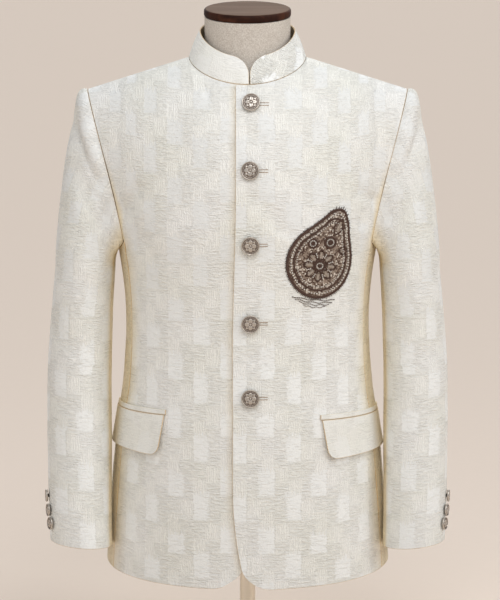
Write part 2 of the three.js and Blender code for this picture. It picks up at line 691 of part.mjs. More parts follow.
function flap(side) {
  const shape = side > 0 ? FLAP_LEFT : FLAP_RIGHT;
  const placeOf = (u, v) => {
    const drop = mix(shape.drop, shape.rearDrop, u);
    const [across, up] = roundCorner(u * FLAP_WIDTH, (1 - v) * drop, FLAP.corner, FLAP.corner);
    const z = shape.topZ - drop + up;
    const start = quarterShareAtX(shape.frontX + (shape.slant * (drop - up)) / drop, z);
    return [mix(start, FLAP.rearShare, across / FLAP_WIDTH), z];
  };
  const liftOf = (u, v) => TRIM_GAP + FLAP.flare * v * v * (0.45 + 0.55 * Math.abs(2 * u - 1));
  const columns = [0, 0.04, 0.1, 0.22, 0.36, 0.5, 0.62, 0.72, 0.81, 0.9, 1];
  return patchOnBody(side, [1, 0.9, 0.72, 0.48, 0.24, 0], columns, placeOf, liftOf, FLAP.thick);
}

function welt(side) {
  const shape = side > 0 ? FLAP_LEFT : FLAP_RIGHT;
  const placeOf = (u, v) => {
    const z = shape.topZ + WELT.above + WELT.height * v;
    return [mix(quarterShareAtX(shape.frontX - 2, z), FLAP.rearShare, u), z];
  };
  return patchOnBody(side, [0, 0.5, 1], lines(12), placeOf, () => TRIM_GAP, WELT.thick);
}

// The share and level of a point of the left front, by its distance across and its height
function placeOnFront(x, z) {
  let level = 1;
  let share = 0;
  for (let i = 0; i < 8; i += 1) {
    share = shareAtX(x, level);
    let low = 0;
    let high = 2;
    for (let k = 0; k < 22; k += 1) {
      const middle = (low + high) / 2;
      if (panelPoint(share, middle, false).z < z) low = middle;
      else high = middle;
    }
    level = (low + high) / 2;
  }
  return [share, level];
}

const leftFrontFace = frontFaces(1).outer;

// The point of a grid's facets in front of a place of the X-Z plane
function onFacets(grid, x, z) {
  for (let r = 0; r + 1 < grid.length; r += 1)
    for (let c = 0; c + 1 < grid[0].length; c += 1) {
      const corners = [grid[r][c], grid[r][c + 1], grid[r + 1][c + 1], grid[r + 1][c]];
      for (const [a, b, d] of [
        [corners[0], corners[1], corners[2]],
        [corners[0], corners[2], corners[3]],
      ]) {
        const whole = (b.x - a.x) * (d.z - a.z) - (d.x - a.x) * (b.z - a.z);
        const toB = ((x - a.x) * (d.z - a.z) - (d.x - a.x) * (z - a.z)) / whole;
        const toD = ((b.x - a.x) * (z - a.z) - (x - a.x) * (b.z - a.z)) / whole;
        if (toB < 0 || toD < 0 || toB + toD > 1) continue;
        return point(x, a.y + toB * (b.y - a.y) + toD * (d.y - a.y), z);
      }
    }
  throw new Error(`no cloth at ${x}, ${z}`);
}

// A point just on or over the left front's outer face, with its outward direction
function onLeftFront(x, z) {
  const [share, level] = placeOnFront(x, z);
  const out = panelOut(share, level, false);
  const fold = foldDepth(BODY_FOLDS, 1, x, z, 1);
  const place = panelPoint(share, level, false).addScaledVector(out, lapLift(x) + fold);
  place.y = Math.min(place.y, onFacets(leftFrontFace, place.x, place.z).y);
  return { place, out };
}

// The paisley's padded ground, a disc of rings in the outline's shape
function motif() {
  const radiusAt = tabled(MOTIF_OUTLINE.degrees, MOTIF_OUTLINE.radius);
  const tip = [52, 60, 67, 72, 76, 80, 87, 96];
  const angles = [...lines(32).slice(0, -1).map((t) => t * 360), ...tip];
  const apart = angles.filter((a) => tip.includes(a) || a < 50 || a > 98).sort((a, b) => a - b);
  const around = apart.length;
  const turn = radians(MOTIF.turn);
  const faceAt = (angle, part) => {
    const radius = MOTIF.scale * radiusAt(angle) * part;
    const a = radians(angle) + turn;
    return onLeftFront(MOTIF.x + radius * Math.cos(a), MOTIF.z + radius * Math.sin(a));
  };
  const positions = [];
  const index = [];
  const rings = [0.34, 0.67, 1];
  const ringCount = rings.length;
  const addPoint = (face, lift) => {
    const p = face.place.clone().addScaledVector(face.out, lift);
    positions.push(p.x, p.y, p.z);
  };
  const crown = (part) => MOTIF.thick + MOTIF.crown * (1 - part * part);
  const middle = faceAt(0, 0);
  addPoint(middle, MOTIF.gap + crown(0));
  addPoint(middle, MOTIF.gap);
  for (const part of rings)
    for (let i = 0; i < around; i += 1) {
      const face = faceAt(apart[i], part);
      addPoint(face, MOTIF.gap + crown(part));
      addPoint(face, MOTIF.gap);
    }
  const at = (ring, i, under) => 2 + 2 * (ring * around + (i % around)) + under;
  for (let i = 0; i < around; i += 1) {
    index.push(0, at(0, i, 0), at(0, i + 1, 0));
    index.push(1, at(0, i + 1, 1), at(0, i, 1));
    for (let ring = 0; ring + 1 < ringCount; ring += 1) {
      index.push(at(ring, i, 0), at(ring + 1, i, 0), at(ring + 1, i + 1, 0));
      index.push(at(ring, i, 0), at(ring + 1, i + 1, 0), at(ring, i + 1, 0));
      index.push(at(ring, i, 1), at(ring + 1, i + 1, 1), at(ring + 1, i, 1));
      index.push(at(ring, i, 1), at(ring, i + 1, 1), at(ring + 1, i + 1, 1));
    }
    const rim = ringCount - 1;
    index.push(at(rim, i, 0), at(rim, i, 1), at(rim, i + 1, 1));
    index.push(at(rim, i, 0), at(rim, i + 1, 1), at(rim, i + 1, 0));
  }
  return facingOut(positions, index);
}

// A metal button with a shank, rim and dished face. Its axis is Z and its foot is at 0.
function buttonGeometry(button, sides) {
  const { radius, thick, shank, shankRadius } = button;
  const top = shank + thick;
  const profile = [
    [0, 0],
    [shankRadius, 0],
    [shankRadius, shank],
    [radius * 0.88, shank],
    [radius, shank + thick * 0.4],
    [radius * 0.95, top],
    [radius * 0.84, top - thick * 0.04],
    [radius * 0.8, top - thick * 0.3],
    [0, top - thick * 0.05],
  ].map(([r, h]) => new THREE.Vector2(r, h));
  const geometry = new THREE.LatheGeometry(profile, sides);
  geometry.deleteAttribute("normal");
  geometry.deleteAttribute("uv");
  geometry.rotateX(Math.PI / 2);
  const merged = mergeVertices(geometry, 1e-4);
  return facingOut([...merged.attributes.position.array], [...merged.index.array]);
}

// Places a mesh with its Z axis along a direction
function stood(mesh, place, direction) {
  mesh.position.copy(place);
  mesh.quaternion.setFromUnitVectors(point(0, 0, 1), direction);
  return mesh;
}

function frontButtons() {
  const geometry = buttonGeometry(FRONT_BUTTON, 16);
  return FRONT_BUTTON_Z.map((z, i) => {
    const face = onLeftFront(FRONT_BUTTON_X[i], z);
    const foot = face.place.clone().addScaledVector(face.out, FRONT_BUTTON.seat);
    return stood(named(`button_front_${i + 1}`, geometry, "metal"), foot, face.out);
  });
}

function cuffButtons(side) {
  const geometry = buttonGeometry(CUFF_BUTTON, 12);
  const word = side > 0 ? "left" : "right";
  return CUFF_BUTTON_Z.map((z, i) => {
    const cuff = CUFF_Z + CUFF_TILT;
    const down = mix(CAP_SHARE, 1, (SLEEVE_TOP_Z - z) / (SLEEVE_TOP_Z - cuff));
    const out = outward(sleevePoint, CUFF_BUTTON_TURN[i], down, false, 0.005);
    const foot = sleevePoint(CUFF_BUTTON_TURN[i], down).addScaledVector(out, CUFF_BUTTON.seat);
    foot.x *= side;
    out.x *= side;
    return stood(named(`button_cuff_${word}_${i + 1}`, geometry, "metal"), foot, out);
  });
}

const inset = {
  x: tabled(FORM_INSET.z, FORM_INSET.x),
  y: tabled(FORM_INSET.z, FORM_INSET.y),
  down: tabled(FORM_INSET.z, FORM_INSET.down),
};

// Moves a point of the coat's outer face in to the dress form's surface
function toForm(p) {
  const depth = p.y - NECK.y;
  const inX = inset.x(p.z) * (p.x / Math.hypot(p.x, 28));
  const inY = inset.y(p.z) * (depth / Math.hypot(depth, 22));
  return point(p.x - inX, p.y - inY, p.z - inset.down(p.z));
}

// The form: chest, back, sides, flat arm ends, neck and a flat underside, as one closed body
function dressForm() {
  const positions = [];
  const index = [];
  const add = (p) => {
    positions.push(p.x, p.y, p.z);
    return positions.length / 3 - 1;
  };
  const triangle = (a, b, c) => index.push(add(a), add(b), add(c));
  const strip = (upper, lower, flip) => {
    for (let i = 0; i + 1 < upper.length; i += 1) {
      const corners = [lower[i], lower[i + 1], upper[i + 1], upper[i]];
      if (flip) corners.reverse();
      triangle(corners[0], corners[1], corners[2]);
      triangle(corners[0], corners[2], corners[3]);
    }
  };
  const levels = LEVELS.filter((l) => l === 0 || l >= 0.15);
  const shoulder = [0, 0.19, 0.4, 0.6, 0.8, 1];
  const sharesOf = (neck) => [0, neck / 3, (2 * neck) / 3, ...shoulder.map((t) => mix(neck, 1, t))];
  const frontShares = sharesOf(FRONT_TOP.neckShare);
  const backShares = sharesOf(BACK_TOP.neckShare);
  const frontRow = (level) =>
    frontShares.map((share) => {
      const quarter = share * SIDE_SEAM_FRONT;
      if (level > 1) return toForm(upperBody(share, level - 1, false));
      return toForm(lowerBody(quarter, mix(FORM_BOTTOM_Z, ARMHOLE_Z, level), false));
    });
  const backRow = (level) =>
    backShares.map((share) => {
      const quarter = share * SIDE_SEAM_BACK;
      if (level > 1) return toForm(upperBody(share, level - 1, true));
      return toForm(lowerBody(quarter, mix(FORM_BOTTOM_Z, ARMHOLE_Z, level), true));
    });
  const sideRow = (level) =>
    SIDE_COLUMNS.map((along) => toForm(sidePoint(along, level, FORM_BOTTOM_Z)));
  const mirror = (row, side) => row.map((p) => point(p.x * side, p.y, p.z));
  for (const side of [1, -1]) {
    const flip = side < 0;
    for (let i = 0; i + 1 < levels.length; i += 1) {
      const low = levels[i];
      const high = levels[i + 1];
      strip(mirror(frontRow(high), side), mirror(frontRow(low), side), flip);
      strip(mirror(backRow(high), side), mirror(backRow(low), side), !flip);
      if (high <= 1) strip(mirror(sideRow(high), side), mirror(sideRow(low), side), flip);
    }
    const ends = levels.filter((l) => l >= 1);
    const loop = [
      ...ends.map((l) => frontRow(l).at(-1)).reverse(),
      ...sideRow(1).slice(1, -1),
      ...ends.map((l) => backRow(l).at(-1)).slice(0, -1),
    ];
    const middle = loop.reduce((sum, p) => sum.add(p), point(0, 0, 0)).divideScalar(loop.length);
    const rim = mirror(loop, side);
    const hub = point(middle.x * side, middle.y, middle.z);
    rim.forEach((p, i) => {
      const next = rim[(i + 1) % rim.length];
      if (flip) triangle(hub, next, p);
      else triangle(hub, p, next);
    });
    const floor = [...frontRow(0), ...sideRow(0).slice(1), ...backRow(0).reverse().slice(1)];
    const edge = mirror(floor, side);
    const centre = point(0, NECK.y, FORM_BOTTOM_Z);
    edge.slice(0, -1).forEach((p, i) => {
      if (flip) triangle(centre, p, edge[i + 1]);
      else triangle(centre, edge[i + 1], p);
    });
    const ringFoot = [
      ...frontRow(2).slice(0, 4),
      ...backRow(2).slice(0, 3).reverse(),
    ];
    const ring = (rise) =>
      ringFoot.map((p) => {
        const angle = Math.atan2(p.x / NECK.halfWidth, -(p.y - NECK.y) / NECK.halfDepth);
        const y = FORM_NECK.y - FORM_NECK.halfDepth * Math.cos(angle);
        const top = FORM_NECK.topZ + (y - FORM_NECK.y) * Math.tan(radians(FORM_NECK.tilt));
        const reach = point(FORM_NECK.halfWidth * Math.sin(angle), y, mix(p.z, top, rise));
        const inward = 1 - (1 - Math.min(rise / 0.5, 1)) ** 2;
        return point(mix(p.x, reach.x, inward), mix(p.y, reach.y, inward), reach.z);
      });
    const rises = [0, 0.1, 0.22, 0.36, 0.55, 1];
    for (let i = 0; i + 1 < rises.length; i += 1)
      strip(mirror(ring(rises[i + 1]), side), mirror(ring(rises[i]), side), flip);
    const top = mirror(ring(1), side);
    const hubTop = point(0, FORM_NECK.y, FORM_NECK.topZ);
    top.slice(0, -1).forEach((p, i) => {
      if (flip) triangle(hubTop, top[i + 1], p);
      else triangle(hubTop, p, top[i + 1]);
    });
  }
  const loose = new THREE.BufferGeometry();
  loose.setAttribute("position", new THREE.Float32BufferAttribute(positions, 3));
  loose.setIndex(index);
  const merged = mergeVertices(loose, 1e-3);
  const kept = [];
  const joined = merged.index.array;
  for (let i = 0; i < joined.length; i += 3) {
    const [a, b, c] = joined.slice(i, i + 3);
    if (a !== b && b !== c && a !== c) kept.push(a, b, c);
  }
  return facingOut([...merged.attributes.position.array], kept);
}

function turned(profile, sides) {
  const outline = profile.map(([r, h]) => new THREE.Vector2(r, h));
  const geometry = new THREE.LatheGeometry(outline, sides);
  geometry.deleteAttribute("normal");
  geometry.deleteAttribute("uv");
  geometry.rotateX(Math.PI / 2);
  const merged = mergeVertices(geometry, 1e-4);
  return facingOut([...merged.attributes.position.array], [...merged.index.array]);
}

// The wooden neck cap, a round-edged oval disc that leans forward with the neck
function neckCap() {
  const { halfWidth, thick, round } = CAP;
  const profile = [[0, 0], [halfWidth - 3, 0]];
  for (let i = 0; i <= 4; i += 1) {
    const a = radians(-50 + (i * 140) / 4);
    profile.push([halfWidth - round + round * Math.cos(a), thick - round + round * Math.sin(a)]);
  }
  profile.push([0, thick]);
  const mesh = named("form_neck_cap", turned(profile, 28), "wood");
  mesh.scale.set(1, CAP.halfDepth / halfWidth, 1);
  const tilted = new THREE.Group();
  tilted.position.set(0, FORM_NECK.y, FORM_NECK.topZ + SEAM_GAP);
  tilted.rotation.x = radians(FORM_NECK.tilt);
  tilted.add(mesh);
  return tilted;
}

// The stand: a round base, its hub and the pole up to the form, turned in one piece
function stand() {
  const { radius, thick, hubRadius, hubHeight } = BASE;
  const profile = [
    [0, 0],
    [radius - 2, 0],
    [radius, 2],
    [radius, thick - 5],
    [radius - 1.5, thick - 1.5],
    [radius - 5, thick],
    [hubRadius + 4, thick],
    [hubRadius, thick + 3],
    [hubRadius - 3, hubHeight],
    [POLE_RADIUS, hubHeight + 2],
    [POLE_RADIUS, FORM_BOTTOM_Z - SEAM_GAP],
    [0, FORM_BOTTOM_Z - SEAM_GAP],
  ];
  return named("stand", turned(profile, 36), "steel");
}

function named(name, geometry, colour) {
  const mesh = new THREE.Mesh(geometry, COLOURS[colour]);
  mesh.name = name;
  return mesh;
}

const coat = new THREE.Group();
coat.add(
  named("front_left", front(1), "cloth"),
  named("front_right", front(-1), "cloth"),
  named("side_left", sidePanel(1), "cloth"),
  named("side_right", sidePanel(-1), "cloth"),
  named("back_left", back(1), "cloth"),
  named("back_right", back(-1), "cloth"),
  named("sleeve_left_top", sleevePiece(1, true), "cloth"),
  named("sleeve_left_under", sleevePiece(1, false), "cloth"),
  named("sleeve_right_top", sleevePiece(-1, true), "cloth"),
  named("sleeve_right_under", sleevePiece(-1, false), "cloth"),
  named("collar", collar(), "cloth"),
  named("pocket_flap_left", flap(1), "cloth"),
  named("pocket_flap_right", flap(-1), "cloth"),
  named("pocket_welt_left", welt(1), "cloth"),
  named("pocket_welt_right", welt(-1), "cloth"),
  named("chest_motif", motif(), "thread"),
  ...frontButtons(),
  ...cuffButtons(1),
  ...cuffButtons(-1),
);

const dressStand = new THREE.Group();
dressStand.add(
  named("form_torso", dressForm(), "linen"),
  neckCap(),
  stand(),
);

const model = new THREE.Group();
model.add(coat, dressStand);

export default model;
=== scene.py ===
import math
from types import SimpleNamespace

import bmesh
import bpy
import numpy as np
from mathutils import Euler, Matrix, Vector
from mathutils.bvhtree import BVHTree


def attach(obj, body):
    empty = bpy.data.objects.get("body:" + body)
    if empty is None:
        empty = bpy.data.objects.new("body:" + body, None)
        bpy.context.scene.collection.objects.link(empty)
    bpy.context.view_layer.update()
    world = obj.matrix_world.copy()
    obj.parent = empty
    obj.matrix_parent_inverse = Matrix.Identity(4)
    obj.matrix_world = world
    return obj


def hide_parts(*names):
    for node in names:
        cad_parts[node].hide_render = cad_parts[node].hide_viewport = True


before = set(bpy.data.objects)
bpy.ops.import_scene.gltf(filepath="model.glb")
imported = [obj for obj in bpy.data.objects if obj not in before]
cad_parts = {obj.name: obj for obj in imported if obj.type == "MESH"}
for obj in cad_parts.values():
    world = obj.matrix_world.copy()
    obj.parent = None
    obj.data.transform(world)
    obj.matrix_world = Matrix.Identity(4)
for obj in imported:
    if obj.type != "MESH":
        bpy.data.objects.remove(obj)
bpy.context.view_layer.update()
MM = 0.001

# The cloth's thickness, half of a seam's gap, and how far the lap and the pocket trims stand off
CLOTH = 2.0
HALF_GAP = 0.08
LAP_LIFT = 2.9
TRIM_GAP = 0.4

HEM_FRONT_Z = 107
HEM_SIDE_RISE = 20
HEM_BACK_Z = 124
ARMHOLE_Z = 588
UNDERARM_Z = 575
SHOULDER_TIP = np.array([225.0, 8.0, 799.0])

NECK = SimpleNamespace(half_width=82, half_depth=71, y=-9, side_z=845, front_drop=35, back_rise=17)
COLLAR = SimpleNamespace(half_width=67, half_depth=57, y=-8, height=37, corner=26, bow=1.2)
COLLAR_ENDS = SimpleNamespace(gap=0.7, x=2.6)
COLLAR_GAP = 0.15
COLLAR_RADIUS = 76
COLLAR_BAND = 40

BODY = {
    "z": [100, 180, 250, 300, 342, 371, 400, 430, 470, 514, 545, 577, 612],
    "half_width": [204.5, 199.5, 194, 189, 184.5, 179.5, 176, 173.8, 172.7, 174.4, 177.6, 182.5, 189],
    "side_y": [20, 20, 18, 16, 14, 12, 10, 9, 8, 7, 6, 5, 4],
    "front": [118, 119, 119, 118.5, 117.5, 116, 114.5, 113, 112.5, 114.5, 117.3, 120.5, 123.5],
    "back": [113, 112, 110, 107, 104, 101, 98, 96, 95.5, 100, 105, 111, 115],
}
ROUND_FRONT = 0.58
ROUND_BACK = 0.57
SIDE_SEAM_FRONT = 0.78
SIDE_SEAM_BACK = 0.74

FRONT_TOP = {
    "share": [0, 0.18, 0.36, 0.5, 0.66, 0.83, 1],
    "x": [0, 0, 0, 1, 2, 3, 4],
    "y": [115, 170, 270, 270, 255, 238, 222],
    "z": [205, 150, 25, 0, 0, 0, 10],
}
BACK_TOP = {
    "share": [0, 0.19, 0.38, 0.52, 0.68, 0.84, 1],
    "x": [0, 0, 0, 1, 2, 3, 4],
    "y": [-90, -150, -370, -345, -300, -250, -215],
    "z": [125, 110, 10, 0, 0, 0, 10],
}
NECK_EASE = 1.15
UPPER_RISE = 232
NECK_SHARE = {False: 0.36, True: 0.38}  # of a front's and of a back's width

# How much cloth lies along each piece, which sets the number of its grid lines
SHARE_WIDTH = 237
FRONT_WIDTH = 253
UPPER_LENGTH = 250
SIDE_WIDTH = 105
SIDE_LENGTH = 455
SLEEVE_LENGTH = 640
SLEEVE_WIDTH = {True: 185, False: 140}  # of a top and of an under sleeve

EDGE_LEFT = SimpleNamespace(lap=16.5, waist_lap=20.6, cutaway_z=250, cutaway=19, corner_x=30, corner_z=28)
EDGE_RIGHT = SimpleNamespace(lap=14, waist_lap=18, cutaway_z=250, cutaway=36, corner_x=30, corner_z=28)
LAP_FADE = (22, 78)
LAP_CORNER = 5

SLEEVE = {
    "z": [140, 200, 258, 315, 372, 429, 486, 548],
    "x": [236.2, 237.4, 238.5, 239.3, 239, 238, 235, 229.5],
    "half_width": [43.8, 44.3, 45.2, 45.7, 45.5, 45, 43.5, 42.5],
    "y": [-38, -31, -23, -14, -6, 1, 5, 6],
    "half_depth": [49.5, 50, 51, 52.5, 55, 58.5, 62, 65],
}
SLEEVE_TOP_Z = 548
CUFF_Z = 158.5
CUFF_TILT = 4.5
CAP_SHARE = 0.42
SLEEVE_FRONT_SEAM = 0.45
SLEEVE_BACK_SEAM = (0.8, 0.93)
ARMHOLE_GAP = 0.1
SLEEVE_HEAD = (6, 12)
SLEEVE_ROUND = 330

# Folds as (side, start, end, half width, depth). Sleeve places are turns round the arm and height;
# body places are distance from the centre line and height. The first lists are the frame's own.
SLEEVE_FOLDS = [
    (-1, (0.02, 765), (0.25, 648), 13, -5.0),
    (-1, (0.08, 700), (0.31, 606), 14, -3.8),
    (-1, (0.16, 722), (0.3, 640), 12, 2.6),
    (-1, (0.99, 752), (0.8, 640), 14, -4.0),
    (1, (0.03, 762), (0.22, 665), 13, -3.8),
    (1, (0.1, 690), (0.3, 612), 14, -3.0),
    (1, (0.98, 750), (0.79, 645), 14, -3.8),
    (-1, (0.6, 470), (0.86, 430), 20, -3.2),
    (1, (0.62, 462), (0.88, 424), 20, -3.0),
]
BODY_FOLDS = [
    (-1, (176, 640), (128, 560), 16, -2.6),
    (1, (182, 652), (156, 612), 13, -2.4),
    (1, (100, 812), (142, 744), 17, -2.6),
    (-1, (92, 815), (60, 770), 16, -1.2),
]
# Softer and sharper creases of the finished cloth
SLEEVE_CREASES = [
    (-1, (0.06, 746), (0.25, 668), 5, -4.0),
    (-1, (0.1, 752), (0.27, 678), 7, 2.4),
    (-1, (0.25, 655), (0.35, 612), 4.5, -2.6),
    (-1, (0.2, 640), (0.33, 590), 6, 1.2),
    (-1, (0.1, 640), (0.3, 560), 12, -1.3),
    (-1, (0.2, 545), (0.36, 505), 12, -1.4),
    (-1, (0.06, 470), (0.3, 430), 14, -1.2),
    (-1, (0.04, 372), (0.24, 352), 12, -0.9),
    (1, (0.07, 742), (0.23, 676), 5, -2.3),
    (1, (0.11, 744), (0.26, 682), 7, 1.2),
    (1, (0.24, 650), (0.34, 612), 5, -2.2),
    (1, (0.14, 610), (0.32, 560), 12, -1.2),
    (1, (0.2, 540), (0.36, 500), 12, -1.3),
    (1, (0.08, 450), (0.32, 410), 14, -1.2),
    (1, (0.02, 366), (0.22, 340), 13, -0.8),
    (-1, (0.7, 560), (0.9, 520), 12, -1.6),
    (1, (0.7, 552), (0.9, 516), 12, -1.5),
    (-1, (0.62, 380), (0.88, 350), 14, -1.2),
    (1, (0.62, 384), (0.88, 356), 14, -1.1),
]
FRONT_CREASES = [
    (-1, (192, 612), (146, 672), 9, -4.6),
    (-1, (188, 588), (138, 640), 7, 1.8),
    (-1, (182, 575), (132, 600), 9, -1.2),
    (-1, (165, 560), (120, 520), 12, -1.0),
    (-1, (62, 812), (57, 792), 3.6, -1.3),
    (-1, (54, 808), (51, 786), 3.4, -1.1),
    (-1, (70, 818), (68, 800), 3.4, -0.9),
    (-1, (46, 742), (2, 722), 11, -1.1),
    (-1, (60, 640), (8, 650), 13, -1.0),
    (-1, (40, 560), (6, 536), 11, -0.8),
    (-1, (36, 436), (4, 420), 11, -0.8),
    (-1, (150, 330), (150, 150), 24, -1.0),
    (-1, (60, 300), (64, 130), 26, 0.8),
    (1, (80, 806), (112, 780), 8, -1.6),
    (1, (96, 812), (128, 792), 6, 1.0),
    (1, (190, 640), (152, 664), 8, -3.2),
    (1, (184, 612), (150, 600), 8, 1.0),
    (1, (-2, 746), (26, 730), 8, -2.0),
    (1, (4, 662), (44, 628), 9, -2.2),
    (1, (24, 628), (62, 606), 8, -1.7),
    (1, (34, 604), (62, 594), 6, 0.8),
    (1, (-2, 548), (32, 524), 10, -1.3),
    (1, (0, 440), (32, 418), 10, -1.3),
    (1, (60, 420), (96, 350), 13, -0.8),
    (1, (150, 330), (154, 150), 24, -1.0),
    (1, (64, 300), (60, 130), 26, 0.8),
]
BACK_CREASES = [
    (-1, (182, 640), (138, 584), 12, -1.8),
    (1, (180, 644), (142, 590), 12, -1.7),
    (-1, (150, 470), (40, 452), 14, -1.6),
    (1, (146, 478), (44, 456), 14, -1.5),
    (-1, (140, 436), (60, 424), 12, -1.0),
    (1, (120, 430), (30, 428), 12, -1.1),
    (-1, (40, 822), (90, 806), 12, -1.2),
    (1, (44, 820), (86, 806), 12, -1.0),
    (-1, (90, 380), (100, 170), 26, -1.2),
    (1, (86, 390), (96, 160), 26, -1.1),
]

FLAP = SimpleNamespace(rear_share=1.03, corner=13, thick=2.2, flare=3.2, width=140)
FLAP_LEFT = SimpleNamespace(front_x=103.5, top_z=343.5, drop=55.5, rear_drop=48.5, slant=8)
FLAP_RIGHT = SimpleNamespace(front_x=115.5, top_z=350, drop=57.5, rear_drop=50.5, slant=8)
WELT = SimpleNamespace(above=0.5, height=7, thick=1.5, cloth=0.65)

FRONT_BUTTON = SimpleNamespace(radius=12.8, thick=3.6, shank=2.2, shank_radius=3.2)
CUFF_BUTTON = SimpleNamespace(radius=9.1, thick=3.0, shank=1.6, shank_radius=2.4)
FRONT_BUTTON_X = [5.6, 4.4, 4, 4, 4]
FRONT_BUTTON_Z = [784, 694, 592, 482, 378]
BUTTONHOLE = SimpleNamespace(start=-3.0, end=24.0, half_width=1.75, thread=0.42, stitches=40)

MOTIF = SimpleNamespace(x=101, z=572, turn=-8, scale=1.14, rim=0.5, height=2.0, crown=0.9)
MOTIF_OUTLINE = {
    "degrees": [0, 25, 48, 62, 72, 80, 92, 106, 130, 155, 180, 205, 230, 255, 270, 285, 310, 335, 360],
    "radius": [37, 38, 45, 56, 64, 62, 50, 42, 38, 38, 40, 43, 46, 49, 50, 49, 45, 40, 37],
}

FORM_BOTTOM_Z = 155
FORM_INSET = {
    "z": [150, 470, 577, 700, 770, 800, 900],
    "x": [9, 8.5, 7.5, 5.5, 3.8, 3.6, 3.6],
    "y": [9, 9, 8, 7, 5.6, 4.8, 4.8],
    "down": [0, 0, 0.5, 1.5, 2.7, 3.2, 3.2],
}
FORM_NECK = SimpleNamespace(half_width=60.2, half_depth=52, y=-7, top_z=901.5, tilt=10)
CAP = SimpleNamespace(half_width=61, half_depth=53, thick=11, gap=0.3)
POLE_RADIUS = 11
BASE = SimpleNamespace(radius=140, thick=12, hub_radius=24, hub_height=26)

# Mesh fineness, and how the cloth's edges roll over
CELL = 3.4
EDGE_LINES = np.array([0, 0.35, 0.9, 1.8])
ROLL = SimpleNamespace(reach=1.0, depth=0.35)
# How far in from each edge and seam the cloth's painted shade line reaches
EDGE_SHADE_REACH = 1.1

# The jacquard's repeat
WEAVE = SimpleNamespace(column=38.4, repeat=82.0, side=19.5)

# The studio, in metres. Each sun has a name, the way to it, its power, softness in degrees and tint.
SUNS = [
    ("key", (0.9, -0.42, 0.42), 0.74, 24, (0.99, 1.0, 1.02)),
    ("fill", (-0.75, -0.6, 0.3), 0.42, 60, (0.99, 1.0, 1.02)),
    ("back", (0.1, 0.8, 0.6), 1.4, 70, (1.0, 0.99, 0.97)),
]
LAMP = SimpleNamespace(
    place=(0.25, -1.15, 1.8), aim=(0.0, 0.0, 0.62), size=1.0, power=11.5, tint=(0.99, 1.0, 1.03)
)
SKY = SimpleNamespace(colour=(0.98, 1.0, 1.04, 1.0), strength=0.38)
FLOOR_RADII = (0.4, 1.0, 2.5, 6.0, 14.0, 30.0, 70.0)
CAMERA = SimpleNamespace(distance=4.0, elevation=7.5, lens=169.0, sensor=36.0, aim=(0.0035, 0.5))


def mix(a, b, t):
    return a + (b - a) * t


def smooth(t):
    c = np.clip(t, 0, 1)
    return c * c * (3 - 2 * c)


def unit(v):
    return v / np.linalg.norm(v, axis=-1, keepdims=True)


def stack(x, y, z):
    return np.stack(np.broadcast_arrays(x, y, z), axis=-1).astype(float)


def spread(a, b):
    """Two values as arrays of one shape."""
    return np.broadcast_arrays(np.asarray(a, float), np.asarray(b, float))


def seam_of(is_back):
    """Where the side panel's seam lies, as a share of the quarter section."""
    return np.where(is_back, SIDE_SEAM_BACK, SIDE_SEAM_FRONT)


def hermite(start, start_slope, end, end_slope, t):
    t2 = t * t
    t3 = t2 * t
    return (
        (2 * t3 - 3 * t2 + 1) * start
        + (t3 - 2 * t2 + t) * start_slope
        + (3 * t2 - 2 * t3) * end
        + (t3 - t2) * end_slope
    )


def bezier(a, b, c, d, t):
    r = 1 - t
    return r * r * r * a + 3 * r * r * t * b + 3 * r * t * t * c + t * t * t * d


def tabled(xs, ys):
    """A smooth curve through a table's column, as a function of an array."""
    xs = np.array(xs, float)
    ys = np.array(ys, float)
    widths = np.diff(xs)
    slopes = np.diff(ys) / widths
    inner = (slopes[1:] * widths[:-1] + slopes[:-1] * widths[1:]) / (widths[:-1] + widths[1:])
    tangents = np.concatenate([slopes[:1], inner, slopes[-1:]])

    def at(x):
        x = np.asarray(x, float)
        i = np.clip(np.searchsorted(xs, x, side="left") - 1, 0, len(xs) - 2)
        t = np.clip((x - xs[i]) / widths[i], 0, 1)
        return hermite(ys[i], tangents[i] * widths[i], ys[i + 1], tangents[i + 1] * widths[i], t)

    return at


def columns_of(table, key, *names):
    return SimpleNamespace(**{name: tabled(table[key], table[name]) for name in names})


body = columns_of(BODY, "z", "half_width", "side_y", "front", "back")
sleeve = columns_of(SLEEVE, "z", "x", "half_width", "y", "half_depth")
arrive_front = columns_of(FRONT_TOP, "share", "x", "y", "z")
arrive_back = columns_of(BACK_TOP, "share", "x", "y", "z")
inset = columns_of(FORM_INSET, "z", "x", "y", "down")


def lower_body(share, z, is_back):
    """The body below the armhole. share is 0 at the centre line and 1 at the side."""
    width = body.half_width(z)
    side = body.side_y(z)
    centre = np.where(is_back, body.back(z), -body.front(z))
    roundness = np.where(is_back, ROUND_BACK, ROUND_FRONT)
    return stack(
        bezier(0, roundness * width, width, width, share),
        bezier(centre, centre, mix(side, centre, roundness), side, share),
        z,
    )


def neckline(angle):
    c = np.cos(angle)
    rise = np.where(c > 0, -NECK.front_drop * np.abs(c) ** 1.25, -NECK.back_rise * c)
    return stack(NECK.half_width * np.sin(angle), NECK.y - NECK.half_depth * c, NECK.side_z + rise)


def top_edge(share, is_back):
    """The neckline first, then the shoulder seam."""
    neck_share = NECK_SHARE[is_back]
    turn = (math.pi / 2) * np.clip(share / neck_share, 0, 1) ** NECK_EASE
    along = ((share - neck_share) / (1 - neck_share))[..., None]
    straight = mix(neckline(math.pi / 2), SHOULDER_TIP, along)
    oval = neckline(math.pi - turn if is_back else turn)
    return np.where((share <= neck_share)[..., None], oval, straight)


